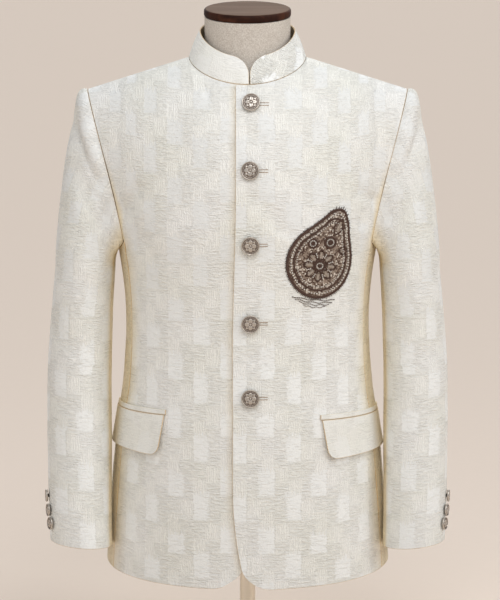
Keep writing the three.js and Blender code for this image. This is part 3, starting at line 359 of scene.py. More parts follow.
def strict_upper_body(share, up, is_back):
    """The body above the armhole's foot. up is 0 at the foot and 1 at the top edge."""
    share, up = spread(share, up)
    side = np.abs(share)
    foot = lower_body(side * seam_of(is_back), ARMHOLE_Z, is_back)
    above = lower_body(side * seam_of(is_back), ARMHOLE_Z + 6, is_back)
    way = arrive_back if is_back else arrive_front
    end_way = stack(way.x(side), way.y(side), way.z(side))
    start_way = (above - foot) * (UPPER_RISE / 6)
    made = hermite(foot, start_way, top_edge(side, is_back), end_way, up[..., None])
    made[..., 0] *= np.where(share < 0, -1, 1)
    return made


def upper_body(share, up, is_back):
    """The same, with the ridge below the neck's corner eased away as it goes down."""
    share, up = spread(share, up)
    reach = 0.055 * smooth((1 - up) / 0.25) * smooth((1 - np.abs(share)) / 0.2) * smooth(up / 0.2)
    total = 0
    for step, weight in ((-2, 1), (-1, 4), (0, 6), (1, 4), (2, 1)):
        total = total + strict_upper_body(share + step * reach, up, is_back) * (weight / 16)
    return total


def hem_z(quarter, is_back):
    """Height of the hem, which rises to the side."""
    side = HEM_FRONT_Z + HEM_SIDE_RISE
    front = HEM_FRONT_Z + HEM_SIDE_RISE * quarter**2
    return np.where(is_back, HEM_BACK_Z + (side - HEM_BACK_Z) * quarter**2, front)


def panel_point(share, level, is_back):
    """A front or back. level runs 0 to 1 up to the armhole's foot, then 1 to 2."""
    share, level = spread(share, level)
    quarter = np.abs(share) * seam_of(is_back)
    z = mix(hem_z(quarter, is_back), ARMHOLE_Z, np.minimum(level, 1))
    lower = lower_body(quarter, z, is_back)
    lower[..., 0] *= np.where(share < 0, -1, 1)
    upper = upper_body(share, np.maximum(level - 1, 0), is_back)
    return np.where((level > 1)[..., None], upper, lower)


def outward(surface, a, b, step=0.004, flip=False):
    """Outward direction of a surface, by small steps each way."""
    along = surface(a + step, b) - surface(a - step, b)
    up = surface(a, b + step) - surface(a, b - step)
    return unit(np.cross(along, up)) * (-1 if flip else 1)


def panel_out(share, level, is_back):
    """Outward direction of a front or back, shared along the shoulder seam."""
    share, level = spread(share, level)
    at = np.clip(level, 0.005, 1.994)

    def way(place, back):
        return outward(lambda s, v: panel_point(s, v, back), place, at, flip=back)

    along = (np.abs(share) - NECK_SHARE[is_back]) / (1 - NECK_SHARE[is_back])
    own = way(share, is_back)
    other = way(mix(NECK_SHARE[not is_back], 1, along), not is_back)
    nearness = np.clip((level - 1.93) / 0.07, 0, 1) * smooth(along / 0.08)
    return unit(mix(own, unit(own + other), nearness[..., None]))


def fold_depth(folds, side, u, v, u_scale=1):
    """How far one side's folds move the cloth out at places (u, v)."""
    total = np.zeros(np.broadcast(u, v).shape)
    for fold_side, start, end, reach, depth in folds:
        if fold_side != side:
            continue
        way_u = (end[0] - start[0]) * u_scale
        way_v = end[1] - start[1]
        length = math.hypot(way_u, way_v)
        du = (u - start[0]) * u_scale
        dv = v - start[1]
        along = (du * way_u + dv * way_v) / length**2
        across = (du * way_v - dv * way_u) / length
        taper = smooth((along + 0.15) / 0.3) * smooth((1.15 - along) / 0.3)
        total += depth * taper * np.exp(-((across / reach) ** 2))
    return total


def off_seams(row):
    """1 over a front or back, fading to 0 at its hem and at its top edge."""
    return smooth((row - 0.02) / 0.1) * smooth((1.98 - row) / 0.1)


def top_seam(row):
    """0 below, rising to 1 at the neckline and shoulder seam."""
    return np.clip((row - 1.9) / 0.1, 0, 1)


def drape(place, seed):
    """A very slight unevenness, so that no panel is perfectly fair."""
    x, y, z = place[..., 0], place[..., 1], place[..., 2]
    slow = np.sin(x / 31 + z / 57 + seed) * np.sin(z / 43 - y / 38 + 2.1 * seed)
    quick = np.sin(x / 13.7 - z / 21 + 1.7 * seed) * np.sin(z / 17 + y / 19)
    return 0.6 * slow + 0.16 * quick


def round_corner(a, b, size_a, size_b):
    """Distances from the two edges of a corner, moved so that the corner is round."""
    p = np.clip((size_a - a) / size_a, 0, None)
    q = np.clip((size_b - b) / size_b, 0, None)
    round_a = size_a * (1 - p * np.sqrt(np.clip(1 - q * q / 2, 0, 1)))
    round_b = size_b * (1 - q * np.sqrt(np.clip(1 - p * p / 2, 0, 1)))
    inside = (a < size_a) & (b < size_b)
    return np.where(inside, round_a, a), np.where(inside, round_b, b)


def edge_past(edge, z):
    """How far a front's edge lies past the centre line."""
    straight = mix(edge.waist_lap, edge.lap, smooth((z - 450) / 200))
    below = np.maximum(0, edge.cutaway_z - z) / (edge.cutaway_z - HEM_FRONT_Z)
    return straight - edge.cutaway * below**2


def lap_lift(x):
    """How far the left front stands off where it laps over the right."""
    return LAP_LIFT * (1 - smooth((x - LAP_FADE[0]) / (LAP_FADE[1] - LAP_FADE[0])))


def bisected(value_at, wanted, low, high, steps=26):
    """Where a rising function reaches a value, for whole arrays at once."""
    low = np.full(np.shape(wanted), low, float)
    high = np.full(np.shape(wanted), high, float)
    for _ in range(steps):
        middle = (low + high) / 2
        short = value_at(middle) < wanted
        low = np.where(short, middle, low)
        high = np.where(short, high, middle)
    return (low + high) / 2


def spaced(length, cell=CELL):
    """Grid lines from 0 to 1 over a length of cloth, closer together at both ends."""
    first = EDGE_LINES[-1]
    middle = np.linspace(first, length - first, max(3, round(length / cell)))
    return np.concatenate([EDGE_LINES[:-1], middle, length - EDGE_LINES[-2::-1]]) / length


def lengths_along(grid, axis):
    """Distance along each grid line from its first point."""
    steps = np.linalg.norm(np.diff(grid, axis=axis), axis=-1)
    pad = [(1, 0) if i == axis else (0, 0) for i in range(2)]
    return np.pad(np.cumsum(steps, axis=axis), pad)


def edge_nearness(grid, reach):
    """1 at a piece's edges, falling to 0 within reach."""
    across = lengths_along(grid, 1)
    up = lengths_along(grid, 0)
    nearest = np.minimum.reduce([across, across[:, -1:] - across, up, up[-1:] - up])
    return 1 - np.clip(nearest / reach, 0, 1)


def edge_roll(grid):
    """How far the cloth's faces draw together near its edges."""
    t = edge_nearness(grid, ROLL.reach)
    return ROLL.depth * (1 - np.sqrt(1 - t * t))


def wall(outer, out, thick=CLOTH):
    """The outer and inner faces of a cloth wall, rolled at its edges."""
    roll = edge_roll(outer)[..., None]
    return outer - out * roll, outer - out * (thick - roll)


# Grain coordinates: u is distance round the body and v height along the cloth
ROUND_SHARES = np.linspace(0, 1.05, 106)
ROUND_HEIGHTS = np.linspace(100, ARMHOLE_Z, 40)
LAST_ACROSS = 84  # the last share whose place across sets the grain above the armhole


def round_lengths(is_back):
    points = lower_body(ROUND_SHARES[None, :], ROUND_HEIGHTS[:, None], is_back)
    return lengths_along(points, 1), points[..., 0]


LENGTHS = {False: round_lengths(False), True: round_lengths(True)}


def bilinear(table, row, column):
    """A table's value between its rows and columns."""
    r = np.minimum(row.astype(int), table.shape[0] - 2)
    c = np.minimum(column.astype(int), table.shape[1] - 2)
    low = mix(table[r, c], table[r, c + 1], column - c)
    high = mix(table[r + 1, c], table[r + 1, c + 1], column - c)
    return mix(low, high, row - r)


def steps_to(value, marks):
    """How many steps along evenly spaced marks a value lies."""
    last = len(marks) - 1
    return np.clip((value - marks[0]) / (marks[-1] - marks[0]) * last, 0, last - 0.001)


def round_length(quarter, z, is_back):
    lengths, _ = LENGTHS[is_back]
    return bilinear(lengths, steps_to(z, ROUND_HEIGHTS), steps_to(quarter, ROUND_SHARES))


def panel_grain(share, level, place, is_back):
    """Vertical grain: below the armhole by the body's girth, above it by the distance across."""
    quarter = np.abs(share) * seam_of(is_back)
    lengths, xs = LENGTHS[is_back]
    across = np.abs(place[..., 0])
    upto = slice(LAST_ACROSS + 1)
    chest = np.interp(across, xs[-1, upto], lengths[-1, upto])
    chest += np.maximum(0, across - xs[-1, LAST_ACROSS]) * 1.15
    around = np.where(level > 1, chest, round_length(quarter, place[..., 2], is_back))
    steps, shares = np.linspace(0, 1, 41), np.linspace(0, 1, 31)
    rise = lengths_along(upper_body(shares[None, :], steps[:, None], is_back), 0)
    up = np.clip(level - 1, 0, 1) * (len(steps) - 1)
    height = ARMHOLE_Z + bilinear(rise, up, steps_to(np.abs(share), shares))
    height = np.where(level > 1, height, place[..., 2])
    return np.stack([np.where(share < 0, -around, around), height], axis=-1)


def panel_levels():
    """Grid rows of a front or back: below the armhole's foot, then above it."""
    lower = spaced(ARMHOLE_Z - HEM_FRONT_Z)
    upper = spaced(UPPER_LENGTH)
    return np.concatenate([lower[: -len(EDGE_LINES) + 1], 1 + upper[len(EDGE_LINES) :]])[:, None]


def panel_painted_shade(share, level, place, seam):
    """Painted golden shade for the light a place gets from the cloth beside it, at the sides and the
    armpit.
    """
    # Painted golden shade grows towards the side seams and, above the armhole's foot, along the armhole's
    # edge
    around = smooth((np.abs(share) * seam - 0.63) / 0.24)
    arm_edge = 1.3 * smooth((np.abs(share) - 0.93) / 0.07) * smooth((720 - place[..., 2]) / 110)
    return np.where(level > 1, np.maximum(around * smooth((640 - place[..., 2]) / 60), arm_edge), around)


FRONT_COLUMNS = [0, 0.035, 0.08, 0.13, 0.2, 0.29, 0.38, 0.48, 0.58, 0.69, 0.8, 0.9, 1]
FRONT_TOP_SHARES = [0, 0.06, 0.12, 0.18, 0.24, 0.3, 0.36, 0.5, 0.66, 0.83, 1]


def front_shell(side):
    edge = EDGE_LEFT if side > 0 else EDGE_RIGHT
    level = panel_levels()
    column = spaced(FRONT_WIDTH)[None, :]
    edge_z = panel_point(0, level, False)[..., 2]
    past = -edge_past(edge, edge_z)
    start = bisected(lambda s: panel_point(s, level, False)[..., 0], past, -0.3, 1)
    end = 1 - HALF_GAP / SHARE_WIDTH
    lapped = np.interp(column, FRONT_COLUMNS[:3], [1, 0.5, 0]) * start
    top_share = lapped + np.minimum(np.interp(column, FRONT_COLUMNS[2:], FRONT_TOP_SHARES), end)
    share = mix(mix(start, end, column), top_share, smooth((level - 1) / 0.85))
    height = level * (ARMHOLE_Z - HEM_FRONT_Z)
    from_start = (share - start) * SHARE_WIDTH
    across, up = round_corner(from_start, height + 0 * share, edge.corner_x, edge.corner_z)
    share = start + across / SHARE_WIDTH
    row = np.where(level < 1, up / (ARMHOLE_Z - HEM_FRONT_Z), level + 0 * share)
    if side > 0:
        top = (2 - level) * UPPER_RISE + 0 * share
        across, down = round_corner((share - start) * SHARE_WIDTH, top, LAP_CORNER, LAP_CORNER)
        share = start + across / SHARE_WIDTH
        row = np.where(level > 1, 2 - down / UPPER_RISE, row)
    lift = lap_lift(panel_point(share, row, False)[..., 0]) if side > 0 else 0 * share
    row = row - (HALF_GAP + 0.6 * lift) / UPPER_RISE * top_seam(row)
    place = panel_point(share, row, False)
    out = panel_out(share, row, False)
    x, z = place[..., 0], place[..., 2]
    depth = fold_depth(BODY_FOLDS + FRONT_CREASES, side, x, z)
    depth = lift + depth * np.where(row > 1, smooth((1 - share) / 0.07), 1)
    depth += drape(place, side) * off_seams(row)
    outer, inner = wall(place + out * depth[..., None], out)
    painted_shade = panel_painted_shade(share, row, place, SIDE_SEAM_FRONT)
    # The right front gets a band of painted shadow beside the left front's lapped edge
    if side < 0:
        from_lap = np.abs(x - edge_past(EDGE_LEFT, z))
        painted_shade += 0.34 * smooth(1 - from_lap / 12)
    return outer, inner, panel_grain(share, row, place, False), painted_shade


def back_shell(side):
    level = panel_levels()
    share = mix(HALF_GAP / SHARE_WIDTH, 1 - HALF_GAP / SHARE_WIDTH, spaced(SHARE_WIDTH))[None, :]
    share, level = spread(share, level)
    row = level - HALF_GAP / UPPER_RISE * top_seam(level)
    place = panel_point(share, row, True)
    out = panel_out(np.maximum(share, 0.005), row, True)
    depth = fold_depth(BACK_CREASES, side, place[..., 0], place[..., 2])
    depth += drape(place, side + 5) * off_seams(row)
    depth *= smooth(place[..., 0] / 14)
    outer, inner = wall(place + out * depth[..., None], out)
    painted_shade = panel_painted_shade(share, row, place, SIDE_SEAM_BACK)
    return outer, inner, panel_grain(share, row, place, True), painted_shade


def side_point(along, level, bottom_z=None):
    """The side panel, from the front seam (0) to the back seam (1)."""
    along, level = spread(along, level)
    is_back = along > 0.5
    bend = np.abs(2 * along - 1)
    quarter = mix(seam_of(is_back), 1, 1 - bend)
    low = hem_z(quarter, is_back) if bottom_z is None else bottom_z
    return lower_body(quarter, mix(low, mix(UNDERARM_Z, ARMHOLE_Z, bend**2.4), level), is_back)


def side_shell(side):
    gap = HALF_GAP / SIDE_WIDTH
    along = mix(gap, 1 - gap, spaced(SIDE_WIDTH, 3.0))[None, :]
    level = spaced(SIDE_LENGTH)[:, None]
    along, level = spread(along, level)
    place = side_point(along, level)
    at = np.clip(level, 0.005, 0.995)
    out = outward(side_point, np.clip(along, 0.02, 0.98), at, 0.006)
    depth = drape(place, side + 9) * smooth(along / 0.2) * smooth((1 - along) / 0.2)
    outer, inner = wall(place + out * depth[..., None], out)
    quarter = mix(seam_of(along > 0.5), 1, 1 - np.abs(2 * along - 1))
    z = place[..., 2]
    front_u = round_length(quarter, z, False)
    whole = round_length(np.ones_like(z), z, False) + round_length(np.ones_like(z), z, True)
    back_u = whole - round_length(quarter, z, True)
    # Painted golden shade over the side panel's front part, which turns away beside the sleeve
    painted_shade = smooth((0.62 - along) / 0.35)
    return outer, inner, np.stack([np.where(along > 0.5, back_u, front_u), z], axis=-1), painted_shade


def armhole_line():
    """The armhole's edge from the shoulder tip down the front, under and up the back."""
    t = np.linspace(0, 1, 97)
    points = np.concatenate([
        upper_body(1.0, 1 - t, False),
        side_point(t[1:-1], 1.0),
        upper_body(1.0, t, True),
    ])
    lengths = np.concatenate([[0], np.cumsum(np.linalg.norm(np.diff(points, axis=0), axis=-1))])
    return points, lengths / lengths[-1]


ARMHOLE_POINTS, ARMHOLE_TURNS = armhole_line()


def armhole(turns):
    round_turns = turns - np.floor(turns)
    return stack(*(np.interp(round_turns, ARMHOLE_TURNS, ARMHOLE_POINTS[:, k]) for k in range(3)))


def sleeve_tube(turns, z):
    angle = turns * 2 * math.pi
    return stack(
        sleeve.x(z) + sleeve.half_width(z) * np.cos(angle),
        sleeve.y(z) - sleeve.half_depth(z) * np.sin(angle),
        z,
    )


def sleeve_point(turns, down):
    """turns goes round the arm, 0 outside and 0.25 front; down runs 0 to 1 from armhole to cuff."""
    turns, down = spread(turns, down)
    c = np.cos(turns * 2 * math.pi)
    s = np.sin(turns * 2 * math.pi)
    tube_share = np.maximum(0, (down - CAP_SHARE) / (1 - CAP_SHARE))
    tube = sleeve_tube(turns, mix(SLEEVE_TOP_Z, CUFF_Z + CUFF_TILT * c, tube_share))
    way = unit(stack(0.9 + 0.1 * c, -0.36 * s, 0.39 * c - 0.27))
    start = armhole(turns) + way * ARMHOLE_GAP
    end = sleeve_tube(turns, SLEEVE_TOP_Z + 0 * turns)
    reach = np.linalg.norm(start - end, axis=-1, keepdims=True) * 0.95
    end_way = unit(end - sleeve_tube(turns, SLEEVE_TOP_Z + 4 + 0 * turns))
    start_reach = 12 + 50 * np.sqrt(np.maximum(0, 0.5 + 0.5 * c))
    t = np.clip(down / CAP_SHARE, -0.05, 1)[..., None]
    cap = hermite(start, way * start_reach[..., None], end, end_way * reach, t)
    from_seam = np.linalg.norm(cap - start, axis=-1) / SLEEVE_HEAD[1]
    swell = SLEEVE_HEAD[0] * np.maximum(0, c) * from_seam * np.exp(1 - from_seam)
    cap = cap + stack(0.85, -0.5 * s, 0.5 * c) * swell[..., None]
    return np.where((down > CAP_SHARE)[..., None], tube, cap)


def sleeve_shell(side, is_top):
    down = spaced(SLEEVE_LENGTH)[:, None]
    back_seam = mix(SLEEVE_BACK_SEAM[0], SLEEVE_BACK_SEAM[1], smooth(down))
    gap = HALF_GAP / SLEEVE_ROUND
    start = back_seam - 1 + gap if is_top else SLEEVE_FRONT_SEAM + gap + 0 * down
    end = SLEEVE_FRONT_SEAM - gap + 0 * down if is_top else back_seam - gap
    turns = mix(start, end, spaced(SLEEVE_WIDTH[is_top])[None, :])
    turns, down = spread(turns, down)
    place = sleeve_point(turns, down)
    out = outward(sleeve_point, turns, np.clip(down, 0.006, 0.994), 0.005)
    round_turns = turns - np.floor(turns)
    z = place[..., 2]
    depth = fold_depth(SLEEVE_FOLDS + SLEEVE_CREASES, side, round_turns, z, SLEEVE_ROUND)
    depth += drape(place, 3 * side + 2) * smooth((1 - down) / 0.04)
    depth *= smooth(down / 0.05)
    outer, inner = wall(place + out * depth[..., None], out)
    middle = lengths_along(place, 1)
    zero = np.argmin(np.abs(turns - 0.2), axis=1) if is_top else np.zeros(len(turns), int)
    u = middle - middle[np.arange(len(turns)), zero][:, None] + (0 if is_top else 60)
    from_cuff = lengths_along(place, 0)
    v = from_cuff[-1:] - from_cuff + CUFF_Z
    # Painted golden shade on the sleeve's inner side, facing the body, and more of it under the arm near
    # the armhole
    inner_side = -np.cos(2 * math.pi * turns)
    painted_shade = 1.2 * smooth((inner_side - 0.86) / 0.13)
    painted_shade += 1.2 * smooth((inner_side - 0.55) / 0.4) * smooth((z - 540) / 30) * smooth((640 - z) / 40)
    return outer, inner, np.stack([u, v], axis=-1), painted_shade


def collar_point(angle, up):
    angle, up = spread(angle, up)
    foot = neckline(angle)
    top = stack(
        COLLAR.half_width * np.sin(angle),
        COLLAR.y - COLLAR.half_depth * np.cos(angle),
        foot[..., 2] + COLLAR.height,
    )
    bow = COLLAR.bow * np.sin(math.pi * up)
    return mix(foot, top, up[..., None]) + stack(np.sin(angle) * bow, -np.cos(angle) * bow, 0)


def collar_shell():
    first = (COLLAR_ENDS.x + COLLAR_ENDS.gap) / COLLAR_RADIUS
    last = 2 * math.pi + (COLLAR_ENDS.x - COLLAR_ENDS.gap) / COLLAR_RADIUS
    angle = mix(first, last, spaced(COLLAR_RADIUS * (last - first), 2.6))[None, :]
    up = spaced(COLLAR_BAND, 2.0)[:, None]
    angle, up = spread(angle, up)
    from_start = angle < math.pi
    from_end = np.where(from_start, angle - first, last - angle) * COLLAR_RADIUS
    corner = COLLAR.corner
    across, below = round_corner(from_end, (1 - up) * COLLAR_BAND, corner, corner)
    turn = across / COLLAR_RADIUS
    angle = np.where(from_start, first + turn, last - turn)
    height = mix(COLLAR_GAP / COLLAR_BAND, 1, 1 - below / COLLAR_BAND)
    place = collar_point(angle, height)
    out = outward(collar_point, angle, np.clip(height, 0.01, 0.99))
    outer, inner = wall(place, out)
    return outer, inner, np.stack([angle * COLLAR_RADIUS, height * COLLAR_BAND], axis=-1), 0 * angle


def round_body(share, z):
    is_back = share > 1
    return lower_body(np.where(is_back, 2 - share, share), z, is_back)


def quarter_share_at(x, z):
    return bisected(lambda s: lower_body(s, z, False)[..., 0], x, 0, 1)


def lengths_both(grid):
    """A grid's own grain: distance across and up from its first corner."""
    return np.stack([lengths_along(grid, 1), lengths_along(grid, 0)], axis=-1)


def patch_painted_shade(share):
    """Painted golden shade for the light a flap or welt gets from the sleeve beside it."""
    return smooth((share - 0.74) / 0.2)


def patch_shell(share, z, lift, thick):
    """A flat piece on the body's side, from its places and its lift off the cloth."""
    out = outward(round_body, share, z, 0.02)
    outer = round_body(share, z) + out * (lift + thick)[..., None]
    return (*wall(outer, out, thick), lengths_both(outer), patch_painted_shade(share))


def flap_shell(side):
    shape = FLAP_LEFT if side > 0 else FLAP_RIGHT
    u, v = np.broadcast_arrays(spaced(FLAP.width, 2.6)[None, :], 1 - spaced(shape.drop, 2.6)[:, None])
    drop = mix(shape.drop, shape.rear_drop, u)
    across, up = round_corner(u * FLAP.width, (1 - v) * drop, FLAP.corner, FLAP.corner)
    z = shape.top_z - drop + up
    start = quarter_share_at(shape.front_x + shape.slant * (drop - up) / drop, z)
    share = mix(start, FLAP.rear_share, across / FLAP.width)
    lift = TRIM_GAP + FLAP.flare * v**2 * (0.45 + 0.55 * np.abs(2 * u - 1))
    lift += 2.6 * np.exp(-u / 0.06) * np.sqrt(v)
    return patch_shell(share, z, lift, FLAP.thick)


def welt_shell(side):
    """A strip folded double along its top, with its two layers just apart."""
    shape = FLAP_LEFT if side > 0 else FLAP_RIGHT
    front_x = shape.front_x - 2
    half = (WELT.thick - WELT.cloth) / 2
    leg = WELT.height - WELT.thick / 2
    turn = np.linspace(0, math.pi, 7)
    straight = np.linspace(0, leg, 7)[:-1]
    rise = np.concatenate([straight, leg + half * np.sin(turn), np.linspace(leg, 0, 7)[1:]])
    depth = np.concatenate([np.full(6, half), half * np.cos(turn), np.full(6, -half)])
    tilt = np.concatenate([np.zeros(6), turn, np.full(6, math.pi)])[:, None]
    u = spaced(FLAP.width, 3.0)[None, :]
    z = shape.top_z + WELT.above + rise[:, None] + 0 * u
    share = mix(quarter_share_at(front_x + 0 * z, z), FLAP.rear_share, u)
    out = outward(round_body, share, z, 0.02)
    lift = TRIM_GAP + WELT.thick / 2 + depth[:, None] + 0 * u
    middle = round_body(share, z) + out * lift[..., None]
    facing = out * np.cos(tilt)[..., None] + np.array([0, 0, 1.0]) * np.sin(tilt)[..., None]
    outer, inner = middle + facing * (WELT.cloth / 2), middle - facing * (WELT.cloth / 2)
    # The welt takes painted golden shade from the sleeve beside it, and a painted shade line along its
    # fold
    return outer, inner, lengths_both(middle), patch_painted_shade(share) + 1.1 * np.sin(tilt) ** 2


def grid_faces(rows, columns, offset=0):
    index = offset + np.arange(rows * columns).reshape(rows, columns)
    corners = [index[:-1, :-1], index[:-1, 1:], index[1:, 1:], index[1:, :-1]]
    return np.stack(corners, axis=-1).reshape(-1, 4)


def ring_faces(rings, sides, offset=0, flip=False):
    """Faces between rings of points that follow each other."""
    index = offset + np.arange(rings * sides).reshape(rings, sides)
    after = np.roll(index, -1, axis=1)
    corners = [index[:-1], after[:-1], after[1:], index[1:]]
    if flip:
        corners = [corners[k] for k in (0, 3, 2, 1)]
    return np.stack(corners, axis=-1).reshape(-1, 4).tolist()


def fan_faces(middle, first, sides, flip=False):
    """Triangles from a middle point to a ring of points."""
    made = [(middle, first + i, first + (i + 1) % sides) for i in range(sides)]
    return [face[::-1] for face in made] if flip else made


def scene_object(name, data):
    """An object of some data, put in the scene."""
    made = bpy.data.objects.new(name, data)
    bpy.context.scene.collection.objects.link(made)
    return made


def mesh_object(name, points, faces, materials):
    """A smoothly shaded object from points in millimetres."""
    mesh = bpy.data.meshes.new(name)
    mesh.from_pydata((np.asarray(points, float) * MM).tolist(), [], [list(map(int, f)) for f in faces])
    mesh.polygons.foreach_set("use_smooth", np.ones(len(mesh.polygons), bool))
    for material in materials:
        mesh.materials.append(material)
    return scene_object(name, mesh)


def point_values(piece, name, values):
    """A number at each point of a piece, which its material reads by name."""
    piece.data.attributes.new(name, "FLOAT", "POINT").data.foreach_set("value", values)


def shell_object(name, shell, side, materials):
    """A closed cloth wall. Its second material is the inner face's."""
    outer, inner, uv, painted_shade = shell
    rows, columns = outer.shape[:2]
    count = rows * columns
    points = np.concatenate([outer.reshape(-1, 3), inner.reshape(-1, 3)]) * np.array([side, 1, 1])
    index = np.arange(count).reshape(rows, columns)
    outer_faces = grid_faces(rows, columns)
    rim = np.concatenate([index[0], index[1:, -1], index[-1, -2::-1], index[-2:0:-1, 0]])
    after = np.roll(rim, -1)
    rim_faces = np.stack([after, rim, rim + count, after + count], axis=-1)
    faces = np.concatenate([outer_faces, outer_faces[:, ::-1] + count, rim_faces])
    a, b, c, d = (points[faces[:, k]] for k in range(4))
    volume = np.einsum("ij,ij->", a, np.cross(b, c)) + np.einsum("ij,ij->", a, np.cross(c, d))
    if volume < 0:
        faces = faces[:, ::-1]
    made = mesh_object(name, points, faces, materials)
    material_index = np.zeros(len(faces), int)
    material_index[len(outer_faces) : 2 * len(outer_faces)] = 1
    made.data.polygons.foreach_set("material_index", material_index)
    flat = np.tile(uv.reshape(-1, 2), (2, 1))
    layer = made.data.uv_layers.new(name="cloth")
    layer.data.foreach_set("uv", flat[faces.reshape(-1)].ravel())
    # Painted golden shade, then a painted shade line along every edge and seam, for the cloth's material
    point_values(made, "painted_shade", np.tile(painted_shade.ravel().astype(float), 2))
    point_values(made, "edge", np.tile(edge_nearness(outer, EDGE_SHADE_REACH).ravel(), 2))
    return made


def shell_cut(shell):
    """The flat width, length and area of a cloth piece, in metres."""
    outer, _, uv, _ = shell
    a, b, c, d = outer[:-1, :-1], outer[:-1, 1:], outer[1:, 1:], outer[1:, :-1]
    area = np.linalg.norm(np.cross(c - a, d - b), axis=-1).sum() / 2 * MM * MM
    low = uv.reshape(-1, 2).min(axis=0)
    high = uv.reshape(-1, 2).max(axis=0)
    width, length = (high - low) * MM
    return (float(width), float(length)), float(min(area, width * length))


class Wire:
    """A value in a material's nodes. Sums and products of it make the nodes for them."""

    def __init__(self, shader, socket):
        self.shader = shader
        self.socket = socket

    def __add__(self, other):
        return self.shader.math("ADD", self, other)

    def __sub__(self, other):
        return self.shader.math("SUBTRACT", self, other)

    def __rsub__(self, other):
        return self.shader.math("SUBTRACT", other, self)

    def __mul__(self, other):
        return self.shader.math("MULTIPLY", self, other)

    def __truediv__(self, other):
        return self.shader.math("DIVIDE", self, other)

    __radd__ = __add__

    def clamped(self):
        return self.shader.math("ADD", self, 0.0, clamp=True)


class Shader:
    """A material's nodes, added and linked in short calls."""

    def __init__(self, name):
        self.material = bpy.data.materials.new(name)
        self.material.use_nodes = True
        self.tree = self.material.node_tree
        self.shader = self.tree.nodes["Principled BSDF"]

    def node(self, kind, output, inputs=None, **settings):
        """One output of a new node, by its name or number."""
        made = self.tree.nodes.new("ShaderNode" + kind)
        for key, value in settings.items():
            setattr(made, key, value)
        for key, value in (inputs or {}).items():
            self.feed(made.inputs[key], value)
        return Wire(self, made.outputs[output])

    def feed(self, socket, value):
        if isinstance(value, Wire):
            self.tree.links.new(value.socket, socket)
        else:
            socket.default_value = value

    def math(self, operation, *values, clamp=False):
        return self.node("Math", 0, dict(enumerate(values)), operation=operation, use_clamp=clamp)

    def vector(self, operation, *values):
        return self.node("VectorMath", 0, dict(enumerate(values)), operation=operation)

    def scaled(self, vector, factors):
        return self.vector("MULTIPLY", vector, factors)

    def part(self, vector, number):
        return self.node("SeparateXYZ", number, {0: vector})

    def place(self):
        return self.node("TexCoord", "Object")

    def attribute(self, name):
        return self.node("Attribute", "Fac", attribute_name=name)

    def step(self, value, low, high):
        """A soft step from 0 at low to 1 at high."""
        inputs = {"Value": value, "From Min": low, "From Max": high}
        return self.node("MapRange", 0, inputs, interpolation_type="SMOOTHSTEP")

    def band(self, value, low, high, soft):
        """1 between low and high, 0 outside."""
        rise = self.step(value, low - soft, low + soft)
        return (rise - self.step(value, high - soft, high + soft)).clamped()

    def wave(self, value, spacing, shift):
        return self.math("SINE", value * (2 * math.pi / spacing) + shift) * 0.5 + 0.5

    def noise(self, vector, scale=1.0, detail=2.0, rough=0.5, output="Fac"):
        inputs = {"Vector": vector, "Scale": scale, "Detail": detail, "Roughness": rough}
        return self.node("TexNoise", output, inputs)

    def mixed(self, factor, low, high):
        return self.node("Mix", 2, {0: factor, 6: low, 7: high}, data_type="RGBA")

    def toned(self, shade, factor):
        """A colour made lighter or darker by a factor."""
        vector = shade[:3] if isinstance(shade, tuple) else shade
        return self.node("VectorMath", 0, {0: vector, "Scale": factor}, operation="SCALE")

    def bump(self, height, distance):
        return self.node("Bump", 0, {"Height": height, "Distance": distance, "Strength": 1.0})

    def set(self, **values):
        for key, value in values.items():
            self.feed(self.shader.inputs[key.replace("_", " ")], value)
        return self.material


def colour(*screen):
    """A linear colour from 0 to 255 screen values."""
    parts = [value / 255 for value in screen]
    return (*(p / 12.92 if p <= 0.04045 else ((p + 0.055) / 1.055) ** 2.4 for p in parts), 1.0)


